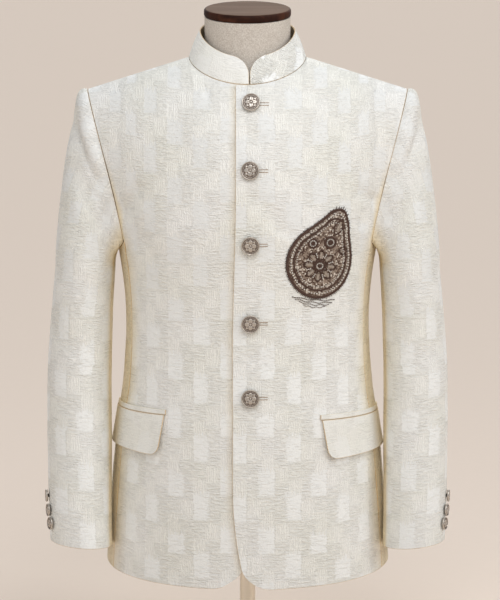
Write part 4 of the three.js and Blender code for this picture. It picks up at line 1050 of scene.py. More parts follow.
def jacquard(name, relief=1.0, contrast=1.0, turn=0.0):
    """Ivory patchwork jacquard: ribbed and satin blocks in columns, with crinkled ground between."""
    s = Shader(name)
    grain = s.node("UVMap", 0, uv_map="cloth")
    height_up = s.part(grain, 1)
    if turn:
        grain = s.node("Mapping", 0, {"Vector": grain, "Rotation": (0, 0, math.radians(turn))})
    moved = grain
    for size, reach in ((0.045, 6.0), (0.19, 2.6)):
        wander = s.noise(s.scaled(grain, (size, size * 1.3, 1)), output="Color")
        away = s.vector("SUBTRACT", wander, (0.5, 0.5, 0.5))
        moved = s.vector("MULTIPLY_ADD", away, (reach, reach, 0.0), moved)
    x, y = s.part(moved, 0), s.part(moved, 1)

    # p and q are the places across and down one block; chance and own are its column's and its own
    wide, repeat, side = WEAVE.column, WEAVE.repeat, WEAVE.side
    column = s.math("FLOOR", x / wide)
    p = x - column * wide
    chance = s.node("TexWhiteNoise", "Value", {"W": column}, noise_dimensions="1D")
    shift = s.math("FLOORED_MODULO", column, 2.0) * (repeat / 2) + chance * 12.0
    turns = (y + shift) / repeat
    q = s.math("FRACT", turns) * -repeat + repeat
    cell = s.node("CombineXYZ", 0, {0: column, 1: s.math("FLOOR", turns)})
    own = s.node("TexWhiteNoise", "Value", {"Vector": cell}, noise_dimensions="2D")

    strokes = s.noise(s.scaled(grain, (0.085, 0.4, 1)), rough=0.6)
    slub = s.noise(s.scaled(grain, (0.075, 0.33, 1)), detail=3.0, rough=0.62)
    speck = s.noise(s.scaled(grain, (0.4, 0.42, 1)), rough=0.65)
    reed = s.noise(s.scaled(grain, (0.42, 0.05, 1)))

    picks = s.step(strokes, 0.38, 0.62)
    in_block = s.band(p, side + 1.0, wide - 1.2, 1.0)
    in_side = s.band(p, 0.8, side, 1.4)
    ragged = slub * -22.0 + (own * -6.0 + (side + 9.5))
    wide_block = s.step(p - ragged, -1.2, 1.2) * s.band(p, -9.0, wide - 1.2, 0.9)
    satin_in = s.step(reed * 34.0 + (q - (own * 14.0 + 36.0)), 14.0, 20.0)
    crossed = picks * s.step(slub, 0.44, 0.58)
    satin = wide_block * satin_in * s.step(q, 80.5, 78.0) * (crossed * -0.5 + 1.0)
    ribbed = in_block * s.band(q, 22.0, 66.0, 2.5)
    upright = (ribbed * (1.0 - satin_in) + in_side * s.band(q, 3.0, 27.0, 2.6)).clamped()
    level = in_block * s.band(q, 1.5, 19.0, 1.8)
    crinkled = (1.0 - satin - upright - level).clamped()

    ribs = s.wave(x, 3.2, reed * 11.0) * upright
    ribs_level = s.wave(y, 3.4, slub * 9.0) * level
    ripple = s.step(slub, 0.38, 0.64) * crinkled
    line_long = s.band(q, 0.0, 1.2, 0.5) * s.band(p, 2.0, wide - 1.0, 2.0)
    line_short = s.band(q, 19.4, 20.6, 0.5) * in_block
    grooves = ((line_short * 0.7 + line_long) * s.step(strokes, 0.3, 0.62)).clamped()
    plain = 1.0 - (upright * 0.6 + satin * 0.85)

    height = ribs * 0.45 + ribs_level * 0.3 + ripple * 0.5 + crinkled * 0.1 + grooves * -0.14
    height = height + picks * (plain * 0.55) + speck * (satin * -0.5 + 0.9) + satin * 0.42
    # A painted sheen: satin blocks lighter low on the coat and darker from the chest up, as their
    # reflection changes
    satin_painted_sheen = s.step(height_up, 400.0, 600.0) * -0.095 + 0.045
    marked = satin * satin_painted_sheen + ribs * 0.08 + crinkled * -0.03 + ripple * 0.045 + grooves * -0.03
    tone = 1.0 + marked * contrast + (picks - 0.5) * plain * 0.085 + (speck - 0.5) * 0.16

    cloud = s.noise(s.scaled(grain, (0.011, 0.009, 1)))
    base = s.mixed(s.step(cloud, 0.3, 0.7), colour(232, 231, 222), colour(237, 236, 231))
    base = s.mixed((satin * (0.8 * contrast)).clamped(), base, colour(236, 237, 234))
    # Painted golden shade at the sides, armpits, inner sleeves, flaps and beside the lap
    base = s.mixed((s.attribute("painted_shade") * 0.6).clamped(), base, colour(231, 208, 154))
    # Painted shade line along every edge and seam of the cloth
    base = s.mixed(s.attribute("edge") * 0.75, base, colour(212, 176, 116))
    return s.set(
        Base_Color=s.toned(base, tone),
        Roughness=satin * -0.2 + 0.68,
        Normal=s.bump(height, 0.001 * relief),
        Specular_IOR_Level=0.3,
        Sheen_Weight=0.1,
        Sheen_Roughness=0.4,
    )


def lining():
    """Champagne satin inside the coat."""
    s = Shader("lining")
    twill = s.noise(s.scaled(s.node("UVMap", 0, uv_map="cloth"), (0.9, 0.25, 1)))
    return s.set(
        Base_Color=s.toned(colour(214, 200, 176), twill * 0.12 + 0.92),
        Roughness=0.42,
        Normal=s.bump(twill, 0.0003),
        Specular_IOR_Level=0.45,
    )


def pewter():
    """Antique metal, with dark patina in the hollows of its relief and painted shade low on its side."""
    s = Shader("pewter")
    grit = s.noise(s.place(), 900.0, 3.0, 0.6)
    dark = (s.attribute("patina_and_shade") + (grit * 0.5 - 0.25)).clamped()
    return s.set(
        Base_Color=s.mixed(dark, colour(196, 187, 176), colour(78, 60, 48)),
        Roughness=dark * 0.3 + 0.28,
        Normal=s.bump(grit, 0.00015),
        Metallic=0.8,
    )


def thread(name, light, dark, metal=0.0, rough=0.55, scale=700.0):
    """Twisted embroidery thread."""
    s = Shader(name)
    place = s.place()
    twisted = {"Vector": place, "Scale": scale, "Distortion": 3.0, "Detail": 2.0}
    twist = s.node("TexWave", "Fac", twisted, bands_direction="DIAGONAL")
    blend = s.noise(place, scale * 2) * 0.5 + twist * 0.5
    return s.set(
        Base_Color=s.mixed(blend, dark, light),
        Roughness=rough,
        Normal=s.bump(blend, 0.0004),
        Metallic=metal,
    )


def beaded_ground():
    """Close-set seed beads in brown, taupe and silver."""
    s = Shader("beaded_ground")
    cells = {"Vector": s.place(), "Scale": 520.0, "Randomness": 0.8}
    bead_dome_and_shade = 1.0 - s.node("TexVoronoi", "Distance", cells)
    chance = s.node("SeparateColor", 0, {0: s.node("TexVoronoi", "Color", cells)})
    base = s.mixed(s.step(chance, 0.25, 0.5), colour(84, 60, 46), colour(150, 132, 116))
    base = s.mixed(s.step(chance, 0.8, 0.88), base, colour(222, 212, 198))
    return s.set(
        # Each bead's colour is painted lighter at its crown and darker towards its edge, as painted shade
        # between the beads
        Base_Color=s.toned(base, bead_dome_and_shade * 0.6 + 0.6),
        Roughness=0.4,
        Normal=s.bump(bead_dome_and_shade, 0.0007),
        Metallic=0.2,
    )


def linen():
    """Greige linen with a close weave and flecks."""
    s = Shader("linen")
    place = s.place()
    fleck = s.noise(place, 640.0, 4.0, 0.75)
    threads = {"Vector": place, "Scale": 300.0, "Distortion": 1.2}
    weave = sum(s.node("TexWave", "Fac", threads, bands_direction=way) * 0.5 for way in "XZ")
    base = s.mixed(s.step(fleck, 0.36, 0.64), colour(188, 177, 164), colour(218, 211, 200))
    return s.set(
        Base_Color=s.toned(base, weave * 0.05 + (s.noise(place, 30.0) * 0.08 + 0.905)),
        Roughness=0.86,
        Normal=s.bump(weave + fleck * 0.6, 0.0003),
        Specular_IOR_Level=0.2,
    )


def walnut():
    """Dark varnished walnut, with a painted highlight that makes its flat top paler."""
    s = Shader("walnut")
    place = s.place()
    figure = s.step(s.noise(s.scaled(place, (9.0, 120.0, 40.0)), 1.0, 5.0, 0.6), 0.35, 0.68)
    pore = s.noise(s.scaled(place, (120.0, 1500.0, 500.0)), 1.0, 3.0, 0.6)
    side = s.mixed(figure, colour(38, 17, 10), colour(70, 38, 24))
    # The paler colour on the flat top is a painted highlight
    top = s.mixed(figure, colour(90, 64, 44), colour(106, 80, 60))
    base = s.mixed(s.step(s.part(place, 2), 0.0104, 0.01095), side, top)
    return s.set(
        Base_Color=s.toned(base, pore * 0.3 + 0.85),
        Roughness=pore * 0.12 + 0.5,
        Normal=s.bump(pore, 0.00008),
        Specular_IOR_Level=0.12,
    )


def steel():
    """Satin steel, turned, with fine rings of brushing."""
    s = Shader("satin_steel")
    rings = s.noise(s.scaled(s.place(), (40.0, 40.0, 2200.0)), 1.0, 3.0)
    return s.set(
        Base_Color=s.toned(colour(232, 222, 205), rings * 0.12 + 0.92),
        Roughness=rings * 0.16 + 0.26,
        Normal=s.bump(rings, 0.00006),
        Metallic=1.0,
    )


def plain_paper(name, shade):
    """The studio's floor."""
    s = Shader(name)
    tooth = s.noise(s.place(), 60.0)
    return s.set(Base_Color=s.toned(shade, tooth * 0.02 + 0.99), Roughness=1.0, Specular_IOR_Level=0.0)


CLOTH_FACE = jacquard("jacquard")
CLOTH_COLLAR = jacquard("jacquard_collar", relief=1.5, contrast=1.8, turn=38.0)
CLOTH_TRIM = jacquard("jacquard_trim", relief=0.5, contrast=0.4)
LINING = lining()
PEWTER = pewter()
LINEN = linen()
WALNUT = walnut()
STEEL = steel()
BROWN = thread("brown_cord", colour(96, 66, 50), colour(44, 24, 16))
TAUPE = thread("taupe_fill", colour(206, 192, 176), colour(124, 104, 88), metal=0.2, rough=0.45)
SILVER = thread("silver_bead", colour(250, 246, 238), colour(222, 212, 198), metal=0.25, rough=0.25)
HOLE_THREAD = thread("buttonhole_thread", colour(196, 168, 138), colour(140, 110, 84))
GROUND = beaded_ground()


def finished(piece, slot, *nodes):
    """Rides a piece on the root and hides the nodes it stands for. Its slot is not used."""
    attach(piece, "root")
    if nodes:
        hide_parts(*nodes)
    return piece


def side_word(side):
    return "left" if side > 0 else "right"


def cloth_piece(node, shell, side, face):
    """A cloth piece in place of its node. Its cut is worked out and not used."""
    piece = shell_object(f"{node}_cloth", shell, side, [face, LINING])
    finished(piece, "jacquard", node)
    flat, area = shell_cut(shell)
    return piece


def torso_grids():
    """The dress form's skin as grids: fronts, backs and sides, for the +X half."""
    levels = np.concatenate([np.linspace(0, 1, 60), 1 + np.linspace(0, 1, 40)[1:]])[:, None]

    def skin(share, is_back):
        quarter = share * seam_of(is_back)
        low = lower_body(quarter, mix(FORM_BOTTOM_Z, ARMHOLE_Z, np.minimum(levels, 1)), is_back)
        high = upper_body(share, np.maximum(levels - 1, 0), is_back)
        return to_form(np.where((levels > 1)[..., None], high, low))

    shoulder = np.linspace(0, 1, 17)
    front = skin(shares_of(False, shoulder)[None, :], False)
    back = skin(shares_of(True, shoulder)[None, :], True)
    along = np.linspace(0, 1, 25)[None, :]
    side = to_form(side_point(along, np.linspace(0, 1, 60)[:, None], FORM_BOTTOM_Z))
    return front, back, side


def shares_of(is_back, shoulder):
    """A panel's shares along its neckline, then along its shoulder."""
    neck = NECK_SHARE[is_back]
    return np.concatenate([np.linspace(0, neck, 13)[:-1], mix(neck, 1, shoulder)])


def to_form(p):
    """A point of the coat's outer face, moved in to the dress form's surface."""
    depth = p[..., 1] - NECK.y
    in_x = inset.x(p[..., 2]) * (p[..., 0] / np.hypot(p[..., 0], 28))
    in_y = inset.y(p[..., 2]) * (depth / np.hypot(depth, 22))
    return p - stack(in_x, in_y, inset.down(p[..., 2]))


def neck_grid(foot):
    """From the skin's ring round the neck up to the cap."""
    rise = np.concatenate([np.linspace(0, 0.55, 16), np.linspace(0.55, 1, 8)[1:]])[:, None]
    angle = np.arctan2(foot[:, 0] / NECK.half_width, -(foot[:, 1] - NECK.y) / NECK.half_depth)[None, :]
    y = FORM_NECK.y - FORM_NECK.half_depth * np.cos(angle)
    top = FORM_NECK.top_z + (y - FORM_NECK.y) * math.tan(math.radians(FORM_NECK.tilt))
    reach = stack(FORM_NECK.half_width * np.sin(angle), y, mix(foot[None, :, 2], top, rise))
    inward = 1 - (1 - np.minimum(rise / 0.5, 1)) ** 2
    x = mix(foot[None, :, 0], reach[..., 0], inward)
    return stack(x, mix(foot[None, :, 1], reach[..., 1], inward), reach[..., 2])


def dress_form():
    front, back, side = torso_grids()
    neck_foot = np.concatenate([front[-1, :13], back[-1, :12][::-1]])
    neck = neck_grid(neck_foot)
    points, faces = [], []

    def offset():
        return sum(len(p) for p in points)

    def put_grid(grid, flip):
        made = grid_faces(*grid.shape[:2], offset())
        faces.extend(made[:, ::-1] if flip else made)
        points.append(grid.reshape(-1, 3))

    def put_fan(ring, middle, flip):
        """A flat face round a middle point."""
        faces.extend(fan_faces(offset(), offset() + 1, len(ring), flip))
        points.append(np.vstack([middle[None, :], ring]))

    under_middle = np.array([0.0, NECK.y, FORM_BOTTOM_Z])
    top_middle = np.array([0.0, FORM_NECK.y, FORM_NECK.top_z])
    for x_side in (1, -1):
        mirror = np.array([x_side, 1, 1])
        for grid, flip in ((front, False), (back, True), (side, False), (neck, False)):
            put_grid(grid * mirror, flip != (x_side < 0))
        arm = np.concatenate([front[59:, -1][::-1], side[-1, 1:-1], back[59:, -1]])[:-1] * mirror
        put_fan(arm, arm.mean(axis=0), x_side < 0)
        under = np.concatenate([front[0], side[0, 1:], back[0][::-1][1:]]) * mirror
        put_fan(under, under_middle, x_side > 0)
        put_fan(neck[-1] * mirror, top_middle, x_side < 0)
    made = mesh_object("form_torso_linen", np.concatenate(points), faces, [LINEN])
    work = bmesh.new()
    work.from_mesh(made.data)
    bmesh.ops.remove_doubles(work, verts=work.verts, dist=2e-5)
    bmesh.ops.recalc_face_normals(work, faces=work.faces)
    work.to_mesh(made.data)
    work.free()
    made.data.set_sharp_from_angle(angle=math.radians(48))
    return finished(made, "linen", "form_torso")


def lathe(name, profile, sides, material, oval=1.0):
    """A turned solid from (radius, height) points, both ends on the axis."""
    angle = np.linspace(0, 2 * math.pi, sides, endpoint=False)
    rings = [(r, h) for r, h in profile if r > 0]
    points = [(r * math.cos(a), r * oval * math.sin(a), h) for r, h in rings for a in angle]
    points += [(0, 0, profile[0][1]), (0, 0, profile[-1][1])]
    bottom, top = len(points) - 2, len(points) - 1
    faces = ring_faces(len(rings), sides) + fan_faces(bottom, 0, sides, True)
    faces += fan_faces(top, (len(rings) - 1) * sides, sides)
    return mesh_object(name, points, faces, [material])


def arc(centre_r, centre_h, radius, start, end, steps):
    """Profile points on a round, from one angle in degrees to another."""
    angles = np.radians(np.linspace(start, end, steps))
    return [(centre_r + radius * math.cos(a), centre_h + radius * math.sin(a)) for a in angles]


def neck_cap():
    thick, wide = CAP.thick, CAP.half_width
    profile = [(0, 0), (wide - 9, 0), (wide - 3, 0)]
    profile += arc(wide - 3, 3, 3, -80, 0, 6)
    profile += arc(wide - 3.4, thick - 3.4, 3.4, 0, 84, 8)
    profile += [(wide - 6, thick), (wide * 0.6, thick), (wide * 0.25, thick), (0, thick)]
    made = lathe("form_neck_cap_walnut", profile, 96, WALNUT, CAP.half_depth / CAP.half_width)
    made.location = Vector((0, FORM_NECK.y, FORM_NECK.top_z + CAP.gap)) * MM
    made.rotation_euler = Euler((math.radians(FORM_NECK.tilt), 0, 0))
    return finished(made, "walnut", "form_neck_cap")


def stand():
    base, thick = BASE.radius, BASE.thick
    profile = [(0, 0), (base - 2, 0)] + arc(base - 2, 2, 2, -70, 0, 4)
    profile += arc(base - 4.6, thick - 4.6, 4.6, 0, 88, 7)
    profile += [(base - 20, thick), (BASE.hub_radius + 24, thick), (BASE.hub_radius + 6, thick)]
    profile += [(BASE.hub_radius + 1.5, thick + 1), (BASE.hub_radius, thick + 3.4)]
    profile += [(BASE.hub_radius - 2.4, BASE.hub_height - 1), (BASE.hub_radius - 4, BASE.hub_height)]
    profile += [(POLE_RADIUS + 0.6, BASE.hub_height + 0.6), (POLE_RADIUS, BASE.hub_height + 2)]
    profile += [(POLE_RADIUS, z) for z in (60, 90, 120, 150)]
    profile += [(POLE_RADIUS, FORM_BOTTOM_Z - 0.3), (0, FORM_BOTTOM_Z - 0.3)]
    made = lathe("stand_steel", profile, 96, STEEL)
    made.data.set_sharp_from_angle(angle=math.radians(40))
    return finished(made, "satin_steel", "stand")


def button_frame(node):
    """Where a button's node stands: its foot, its axis and a level direction across it."""
    points = np.array([v.co for v in bpy.data.objects[node].data.vertices], float)
    centre = points.mean(axis=0)
    _, _, ways = np.linalg.svd(points - centre)
    axis = ways[2]
    outwards = (0.0, -1.0, 0.0) if "front" in node else (np.sign(centre[0]), -0.3, 0.0)
    if axis @ np.array(outwards) < 0:
        axis = -axis
    foot = centre + axis * ((points - centre) @ axis).min()
    across = unit(np.cross([0.0, 0.0, 1.0], axis))
    return foot / MM, axis, across


def button_relief(r, angle, radius):
    """Height of the carving, from 0 in the hollows to about 1: four leaves, four buds and a boss."""
    part = r / radius + 0 * angle
    leaf_edge = 0.24 + 0.42 * np.abs(np.cos(2 * angle)) ** 0.8
    leaf = smooth((leaf_edge - part) / 0.09) * smooth((part - 0.17) / 0.05)
    vein = np.exp(-((np.sin(2 * angle) * part / 0.05) ** 2)) * (np.cos(2 * angle) ** 2 > 0.5)
    bud_edge = 0.5 + 0.2 * np.abs(np.sin(2 * angle)) ** 6
    bud = smooth((bud_edge - part) / 0.05) * smooth((part - 0.44) / 0.06)
    bud *= np.abs(np.sin(2 * angle)) ** 5
    boss = smooth((0.13 - part) / 0.06)
    beads = smooth((0.055 - np.abs(part - 0.76)) / 0.05) * (0.55 + 0.45 * np.cos(24 * angle))
    return np.maximum.reduce([leaf - 0.35 * vein * leaf, bud * 0.9, boss, beads * 0.85])


def button(node, sizes):
    """A cast metal button with a shank, a raised rim and a carved face."""
    foot, axis, across = button_frame(node)
    radius, top = sizes.radius, sizes.shank + sizes.thick
    side = [
        (0.001, 0), (sizes.shank_radius, 0), (sizes.shank_radius, sizes.shank),
        (radius * 0.88, sizes.shank), (radius * 0.97, sizes.shank + sizes.thick * 0.18),
        (radius, sizes.shank + sizes.thick * 0.42), (radius * 0.99, sizes.shank + sizes.thick * 0.7),
        (radius * 0.955, top - 0.12), (radius * 0.92, top), (radius * 0.885, top - 0.1),
    ]
    face_radii = np.concatenate([np.linspace(0.86, 0.1, 26), [0.04, 0.001]]) * radius
    sides = 72
    angle = np.linspace(0, 2 * math.pi, sides, endpoint=False)
    rings, patina_and_shade = [], []
    for r, h in side:
        rings.append(stack(r * np.cos(angle), r * np.sin(angle), h))
        # The side is painted darker towards the foot, as shade under the button's rim
        low = smooth((sizes.shank + sizes.thick * 0.55 - h) / sizes.thick) * 0.9
        patina_and_shade.append(np.full(sides, low))
    for r in face_radii:
        relief = button_relief(r, angle, radius)
        dish = top - 0.95 + 0.35 * (1 - (r / radius) ** 2)
        rings.append(stack(r * np.cos(angle), r * np.sin(angle), dish + 0.62 * relief))
        patina_and_shade.append(np.clip(0.8 - 1.1 * relief, 0, 1))
    local = np.concatenate(rings)
    up = np.cross(axis, across)
    points = foot + local[:, :1] * across + local[:, 1:2] * up + local[:, 2:] * axis
    made = mesh_object(f"{node}_metal", points, ring_faces(len(rings), sides), [PEWTER])
    point_values(made, "patina_and_shade", np.concatenate(patina_and_shade))
    return finished(made, "button_metal", node)


class Surface:
    """The left front's outer face, found from straight ahead."""

    def __init__(self, piece):
        mesh = piece.data
        points = [v.co.copy() for v in mesh.vertices]
        self.tree = BVHTree.FromPolygons(points, [list(p.vertices) for p in mesh.polygons])

    def at(self, x, z, lift=0.0):
        hit, normal, _, _ = self.tree.ray_cast(Vector((x * MM, -0.5, z * MM)), Vector((0, 1, 0)))
        if hit is None:
            raise ValueError(f"no cloth at {x}, {z}")
        out = np.array(normal)
        return np.array(hit) / MM + out * lift, out


def tube(points, outs, radius, sides=8, flat=1.0):
    """A cord's points and faces along a path on the cloth. flat is its height over its width."""
    points = np.asarray(points, float)
    outs = np.asarray(outs, float)
    ways = unit(np.gradient(points, axis=0))
    acrosses = unit(np.cross(ways, outs))
    outs = np.cross(acrosses, ways)
    radius = np.broadcast_to(radius, len(points))[:, None]
    rings = []
    for a in np.linspace(0, 2 * math.pi, sides, endpoint=False):
        rings.append(points + acrosses * radius * math.cos(a) + outs * radius * flat * math.sin(a))
    count = len(points) * sides
    ends = [list(range(sides)), list(range(count - 1, count - sides - 1, -1))]
    return np.stack(rings, axis=1).reshape(-1, 3), ring_faces(len(points), sides) + ends


def bead_parts(centre, out, radius):
    """A small round bead: rings of a ball whose pole follows the cloth's outward direction."""
    across = unit(np.cross(out, [0.3, 0.2, 0.93]))
    up = np.cross(out, across)
    points = []
    rows, sides = 4, 7
    for i in range(1, rows):
        tilt = math.pi * i / rows
        for a in 2 * math.pi * np.arange(sides) / sides:
            way = out * math.cos(tilt) + (across * math.cos(a) + up * math.sin(a)) * math.sin(tilt)
            points.append(centre + way * radius)
    points += [centre + out * radius, centre - out * radius]
    top, bottom = len(points) - 2, len(points) - 1
    faces = ring_faces(rows - 1, sides, flip=True) + fan_faces(top, 0, sides)
    return np.array(points), faces + fan_faces(bottom, (rows - 2) * sides, sides, True)


class Gathered:
    """Many small pieces, joined into one object."""

    def __init__(self):
        self.points = []
        self.faces = []
        self.count = 0

    def add(self, points, faces):
        self.points.append(points)
        self.faces += [[self.count + i for i in face] for face in faces]
        self.count += len(points)

    def add_cord(self, faced, radius, sides, flat):
        """A tube along points that each come with the cloth's outward direction."""
        places, outs = zip(*faced)
        self.add(*tube(places, outs, radius, sides, flat))

    def made(self, name, material):
        return mesh_object(name, np.concatenate(self.points), self.faces, [material])


def buttonholes(surface):
    """Hand-worked holes behind the front buttons: two rows of close stitches beside a slit."""
    stitches = Gathered()
    for x, z in zip(FRONT_BUTTON_X, FRONT_BUTTON_Z):
        start, end = x + BUTTONHOLE.start, x + BUTTONHOLE.end
        for row in (-1, 1):
            along = np.linspace(start, end, BUTTONHOLE.stitches * 2)
            wave = BUTTONHOLE.half_width * row + 0.18 * np.sin(np.arange(len(along)) * math.pi / 1.5)
            faced = [surface.at(px, z + w, 0.2) for px, w in zip(along, wave)]
            stitches.add_cord(faced, BUTTONHOLE.thread, 6, 0.8)
    finished(stitches.made("buttonhole_stitching", HOLE_THREAD), "jacquard")


def polar(u, v, radius, degrees):
    """The point at a radius and an angle from (u, v)."""
    a = math.radians(degrees)
    return u + radius * math.cos(a), v + radius * math.sin(a)


motif_radius = tabled(MOTIF_OUTLINE["degrees"], MOTIF_OUTLINE["radius"])


class Motif:
    """A generic padded paisley: brown cords, taupe ground and silver beads on the left front."""

    def __init__(self, surface):
        self.surface = surface
        self.turn = math.radians(MOTIF.turn)
        self.cords = Gathered()
        self.fill = Gathered()
        self.beads = Gathered()

    def outline(self, degrees, part):
        return polar(0, 0, MOTIF.scale * motif_radius(degrees % 360) * part, degrees)

    def place(self, u, v, lift):
        """A point over the ground from the motif's own level coordinates."""
        x = MOTIF.x + u * math.cos(self.turn) - v * math.sin(self.turn)
        z = MOTIF.z + u * math.sin(self.turn) + v * math.cos(self.turn)
        return self.surface.at(x, z, lift)

    def ground_height(self, u, v):
        degrees = math.degrees(math.atan2(v, u))
        part = math.hypot(u, v) / (MOTIF.scale * float(motif_radius(degrees % 360)))
        if part >= 1:
            return 0.1
        edge = float(smooth((1 - part) * 14))
        return mix(MOTIF.rim, MOTIF.height, edge) + MOTIF.crown * (1 - part * part)

    def on(self, u, v, lift):
        return self.place(u, v, self.ground_height(u, v) + lift)

    def ground(self):
        """The padded ground, closed behind, a little inside its outline."""
        degrees = np.linspace(0, 360, 144, endpoint=False)
        parts = np.concatenate([np.linspace(0.04, 0.9, 20), [0.94, 0.97, 0.99]])
        edge = [self.outline(d, 0.985) for d in degrees]
        points = [self.on(*self.outline(d, part), 0.0)[0] for part in parts for d in degrees]
        points += [self.place(u, v, 0.05)[0] for u, v in edge]
        front, behind = len(points), len(points) + 1
        points += [self.on(0, 0, 0.0)[0], self.place(0, 0, 0.05)[0]]
        rings, sides = len(parts) + 1, len(degrees)
        faces = ring_faces(rings, sides, flip=True) + fan_faces(front, 0, sides)
        faces += fan_faces(behind, (rings - 1) * sides, sides, True)
        made = mesh_object("chest_motif_ground", points, faces, [GROUND])
        return finished(made, "embroidery", "chest_motif")

    def cord(self, path, radius, into=None, lift=0.2, flat=0.9):
        """A cord along a path, in brown unless another gathering is given."""
        faced = [self.on(u, v, lift) for u, v in path]
        (into or self.cords).add_cord(faced, radius, 7, flat)

    def bead_row(self, path, spacing, radius):
        """Beads along a path at an even spacing."""
        path = np.asarray(path, float)
        lengths = np.concatenate([[0], np.cumsum(np.linalg.norm(np.diff(path, axis=0), axis=1))])
        for wanted in np.arange(0, lengths[-1], spacing):
            u = np.interp(wanted, lengths, path[:, 0])
            v = np.interp(wanted, lengths, path[:, 1])
            place, out = self.on(u, v, radius * 0.6)
            self.beads.add(*bead_parts(place, out, radius))

    def ring(self, u, v, radius, steps=28):
        return [polar(u, v, radius, d) for d in np.linspace(0, 360, steps)]

    def rosette(self, u, v, radius):
        self.cord(self.ring(u, v, radius), radius * 0.22)
        self.cord(self.ring(u, v, radius * 0.26), radius * 0.26, lift=0.6)
        self.bead_row(self.ring(u, v, radius * 0.62), 2.4, 1.05)

    def petal(self, u, v, way, length, width, cord_radius=0.75):
        """A pointed leaf from (u, v) towards an angle, with a satin middle."""
        t = np.linspace(0, 1, 13)
        bulge = width / 2 * np.sin(math.pi * t**0.85)
        c, s = math.cos(math.radians(way)), math.sin(math.radians(way))
        left = [(u + c * length * a - s * b, v + s * length * a + c * b) for a, b in zip(t, bulge)]
        right = [(u + c * length * a + s * b, v + s * length * a - c * b) for a, b in zip(t, bulge)]
        self.cord(left + right[-2::-1], cord_radius)
        spine = [(u + c * length * a, v + s * length * a) for a in np.linspace(0.22, 0.8, 7)]
        self.cord(spine, width * 0.2, self.fill, 0.3, 0.6)

    def sew(self):
        """All the cords and beads on the ground, from the rim inwards."""
        degrees = np.linspace(0, 360, 181)
        self.fringe()
        self.cord([self.outline(d, 0.978) for d in degrees], 2.0, lift=0.1)
        self.bead_row([self.outline(d, 0.885) for d in degrees], 3.7, 1.3)
        self.cord([self.outline(d, 0.8) for d in degrees], 1.35)
        self.bead_row([self.outline(d, 0.72) for d in degrees], 3.3, 1.05)
        self.lotus(-1.0, -11)
        self.rosette(9, 23, 7.4)
        self.rosette(-14.5, 19.5, 6.2)
        self.petal(14, 34, 71, 24, 11, 1.1)
        for way in (35, 75):
            self.petal(25, 8, way, 12, 6, 0.9)
        for way in (110, 150):
            self.petal(-27, 5, way, 12, 6, 0.9)
        self.rows_below()

    def fringe(self):
        """Short stitches all round that soften the rim."""
        for i, d in enumerate(np.arange(0, 360, 2.6)):
            reach = 1.045 + 0.012 * math.sin(2.3 * i)
            path = [self.outline(d + 0.4 * math.sin(i), part) for part in (0.98, 1.01, reach)]
            self.cord(path, 0.5, lift=0.25)

    def lotus(self, u, v):
        """Eight petals round a boss, with short rows of beads between them."""
        for way in range(0, 360, 45):
            self.petal(*polar(u, v, 7.4, way), way, 15.5, 10.5, 1.05)
        for way in np.arange(22.5, 360, 45):
            self.bead_row([polar(u, v, 13, way), polar(u, v, 19.5, way)], 2.5, 1.15)
        self.cord(self.ring(u, v, 6.6), 1.5, lift=0.4)
        self.bead_row(self.ring(u, v, 4.0), 2.6, 1.1)
        self.cord(self.ring(u, v, 1.3, steps=14), 1.4, lift=0.7)

    def rows_below(self):
        """Short wavy rows of running stitch below the paisley, each narrower than the last."""
        for row, half in enumerate((30, 26, 21, 15)):
            t = np.linspace(-1, 1, 44)
            fall = -57.5 - 3.4 * row - 2.2 * (1 - t * t) + 0.7 * np.sin(9 * t + 2 * row)
            path = list(zip(t * half - 2 + row, fall))
            self.cord(path, 0.62 - 0.04 * row, lift=0.3)
            self.bead_row(path[2:-2], 3.2, 0.75)

    def build(self):
        ground = self.ground()
        self.sew()
        finished(self.cords.made("chest_motif_cords", BROWN), "embroidery")
        finished(self.fill.made("chest_motif_satin", TAUPE), "embroidery")
        finished(self.beads.made("chest_motif_beads", SILVER), "embroidery")


def build_coat():
    for side in (1, -1):
        word = side_word(side)
        for panel, shell in (("front", front_shell), ("back", back_shell), ("side", side_shell)):
            cloth_piece(f"{panel}_{word}", shell(side), side, CLOTH_FACE)
        for part, is_top in (("top", True), ("under", False)):
            shell = sleeve_shell(side, is_top)
            cloth_piece(f"sleeve_{word}_{part}", shell, side, CLOTH_FACE)
        for trim, shell, held in (("flap", flap_shell, "hung"), ("welt", welt_shell, "folded")):
            cloth_piece(f"pocket_{trim}_{word}", shell(side), side, CLOTH_TRIM)
    piece = cloth_piece("collar", collar_shell(), 1, CLOTH_COLLAR)
    # The bias weave is on the left half alone, and the right half has the trim's
    piece.data.materials.append(CLOTH_TRIM)
    for face in piece.data.polygons:
        if face.material_index == 0 and face.center.x < COLLAR_ENDS.x * MM:
            face.material_index = 2


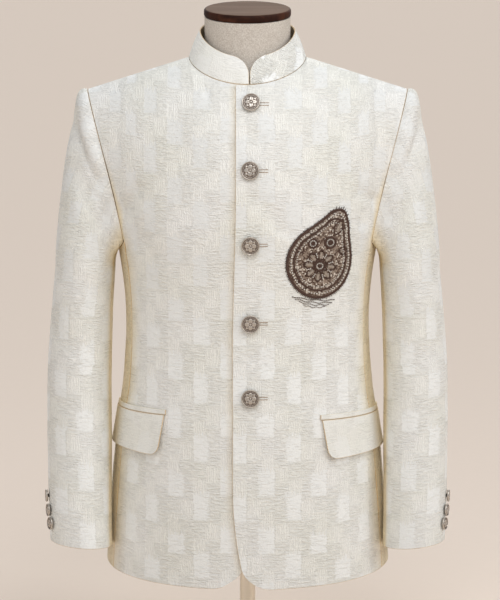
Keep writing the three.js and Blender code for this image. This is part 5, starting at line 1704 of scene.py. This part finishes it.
def light(name, kind, power, tint, place, aim):
    """A light at a place, aimed at a point."""
    data = bpy.data.lights.new(name, kind)
    data.energy = power
    data.color = tint
    made = scene_object(name, data)
    made.location = Vector(place)
    made.rotation_euler = (Vector(aim) - made.location).to_track_quat("-Z", "Y").to_euler()
    return data


def studio():
    """A wide plain floor under soft suns from three sides and a round lamp above the front."""
    angle = np.linspace(0, 2 * math.pi, 64, endpoint=False)
    rings = [(r / MM * math.cos(a), r / MM * math.sin(a), 0) for r in FLOOR_RADII for a in angle]
    faces = fan_faces(0, 1, len(angle)) + ring_faces(len(FLOOR_RADII), len(angle), 1, True)
    paper = plain_paper("floor_paper", colour(240, 225, 211))
    mesh_object("floor", [(0, 0, 0)] + rings, faces, [paper])
    for name, towards, power, softness, tint in SUNS:
        light(name, "SUN", power, tint, Vector(towards) * 3, (0, 0, 0)).angle = math.radians(softness)
    lamp = light("top_front", "AREA", LAMP.power, LAMP.tint, LAMP.place, LAMP.aim)
    lamp.shape = "DISK"
    lamp.size = LAMP.size
    world = bpy.data.worlds.new("studio")
    bpy.context.scene.world = world
    world.use_nodes = True
    sky = world.node_tree.nodes["Background"].inputs
    sky["Color"].default_value = SKY.colour
    sky["Strength"].default_value = SKY.strength
    bpy.context.scene.view_settings.view_transform = "Standard"


def camera():
    """The photograph's view."""
    data = bpy.data.cameras.new("camera")
    data.lens = CAMERA.lens
    data.sensor_width = CAMERA.sensor
    made = scene_object("camera", data)
    tilt = math.radians(CAMERA.elevation)
    x, height = CAMERA.aim
    made.location = (x, -CAMERA.distance * math.cos(tilt), height + CAMERA.distance * math.sin(tilt))
    made.rotation_euler = (math.pi / 2 - tilt, 0, 0)
    bpy.context.scene.camera = made


camera()
studio()
build_coat()
dress_form()
neck_cap()
stand()
for number in range(1, 6):
    button(f"button_front_{number}", FRONT_BUTTON)
for word in ("left", "right"):
    for number in range(1, 4):
        button(f"button_cuff_{word}_{number}", CUFF_BUTTON)
bpy.context.view_layer.update()
front_face = Surface(bpy.data.objects["front_left_cloth"])
buttonholes(front_face)
Motif(front_face).build()

bpy.context.view_layer.update()
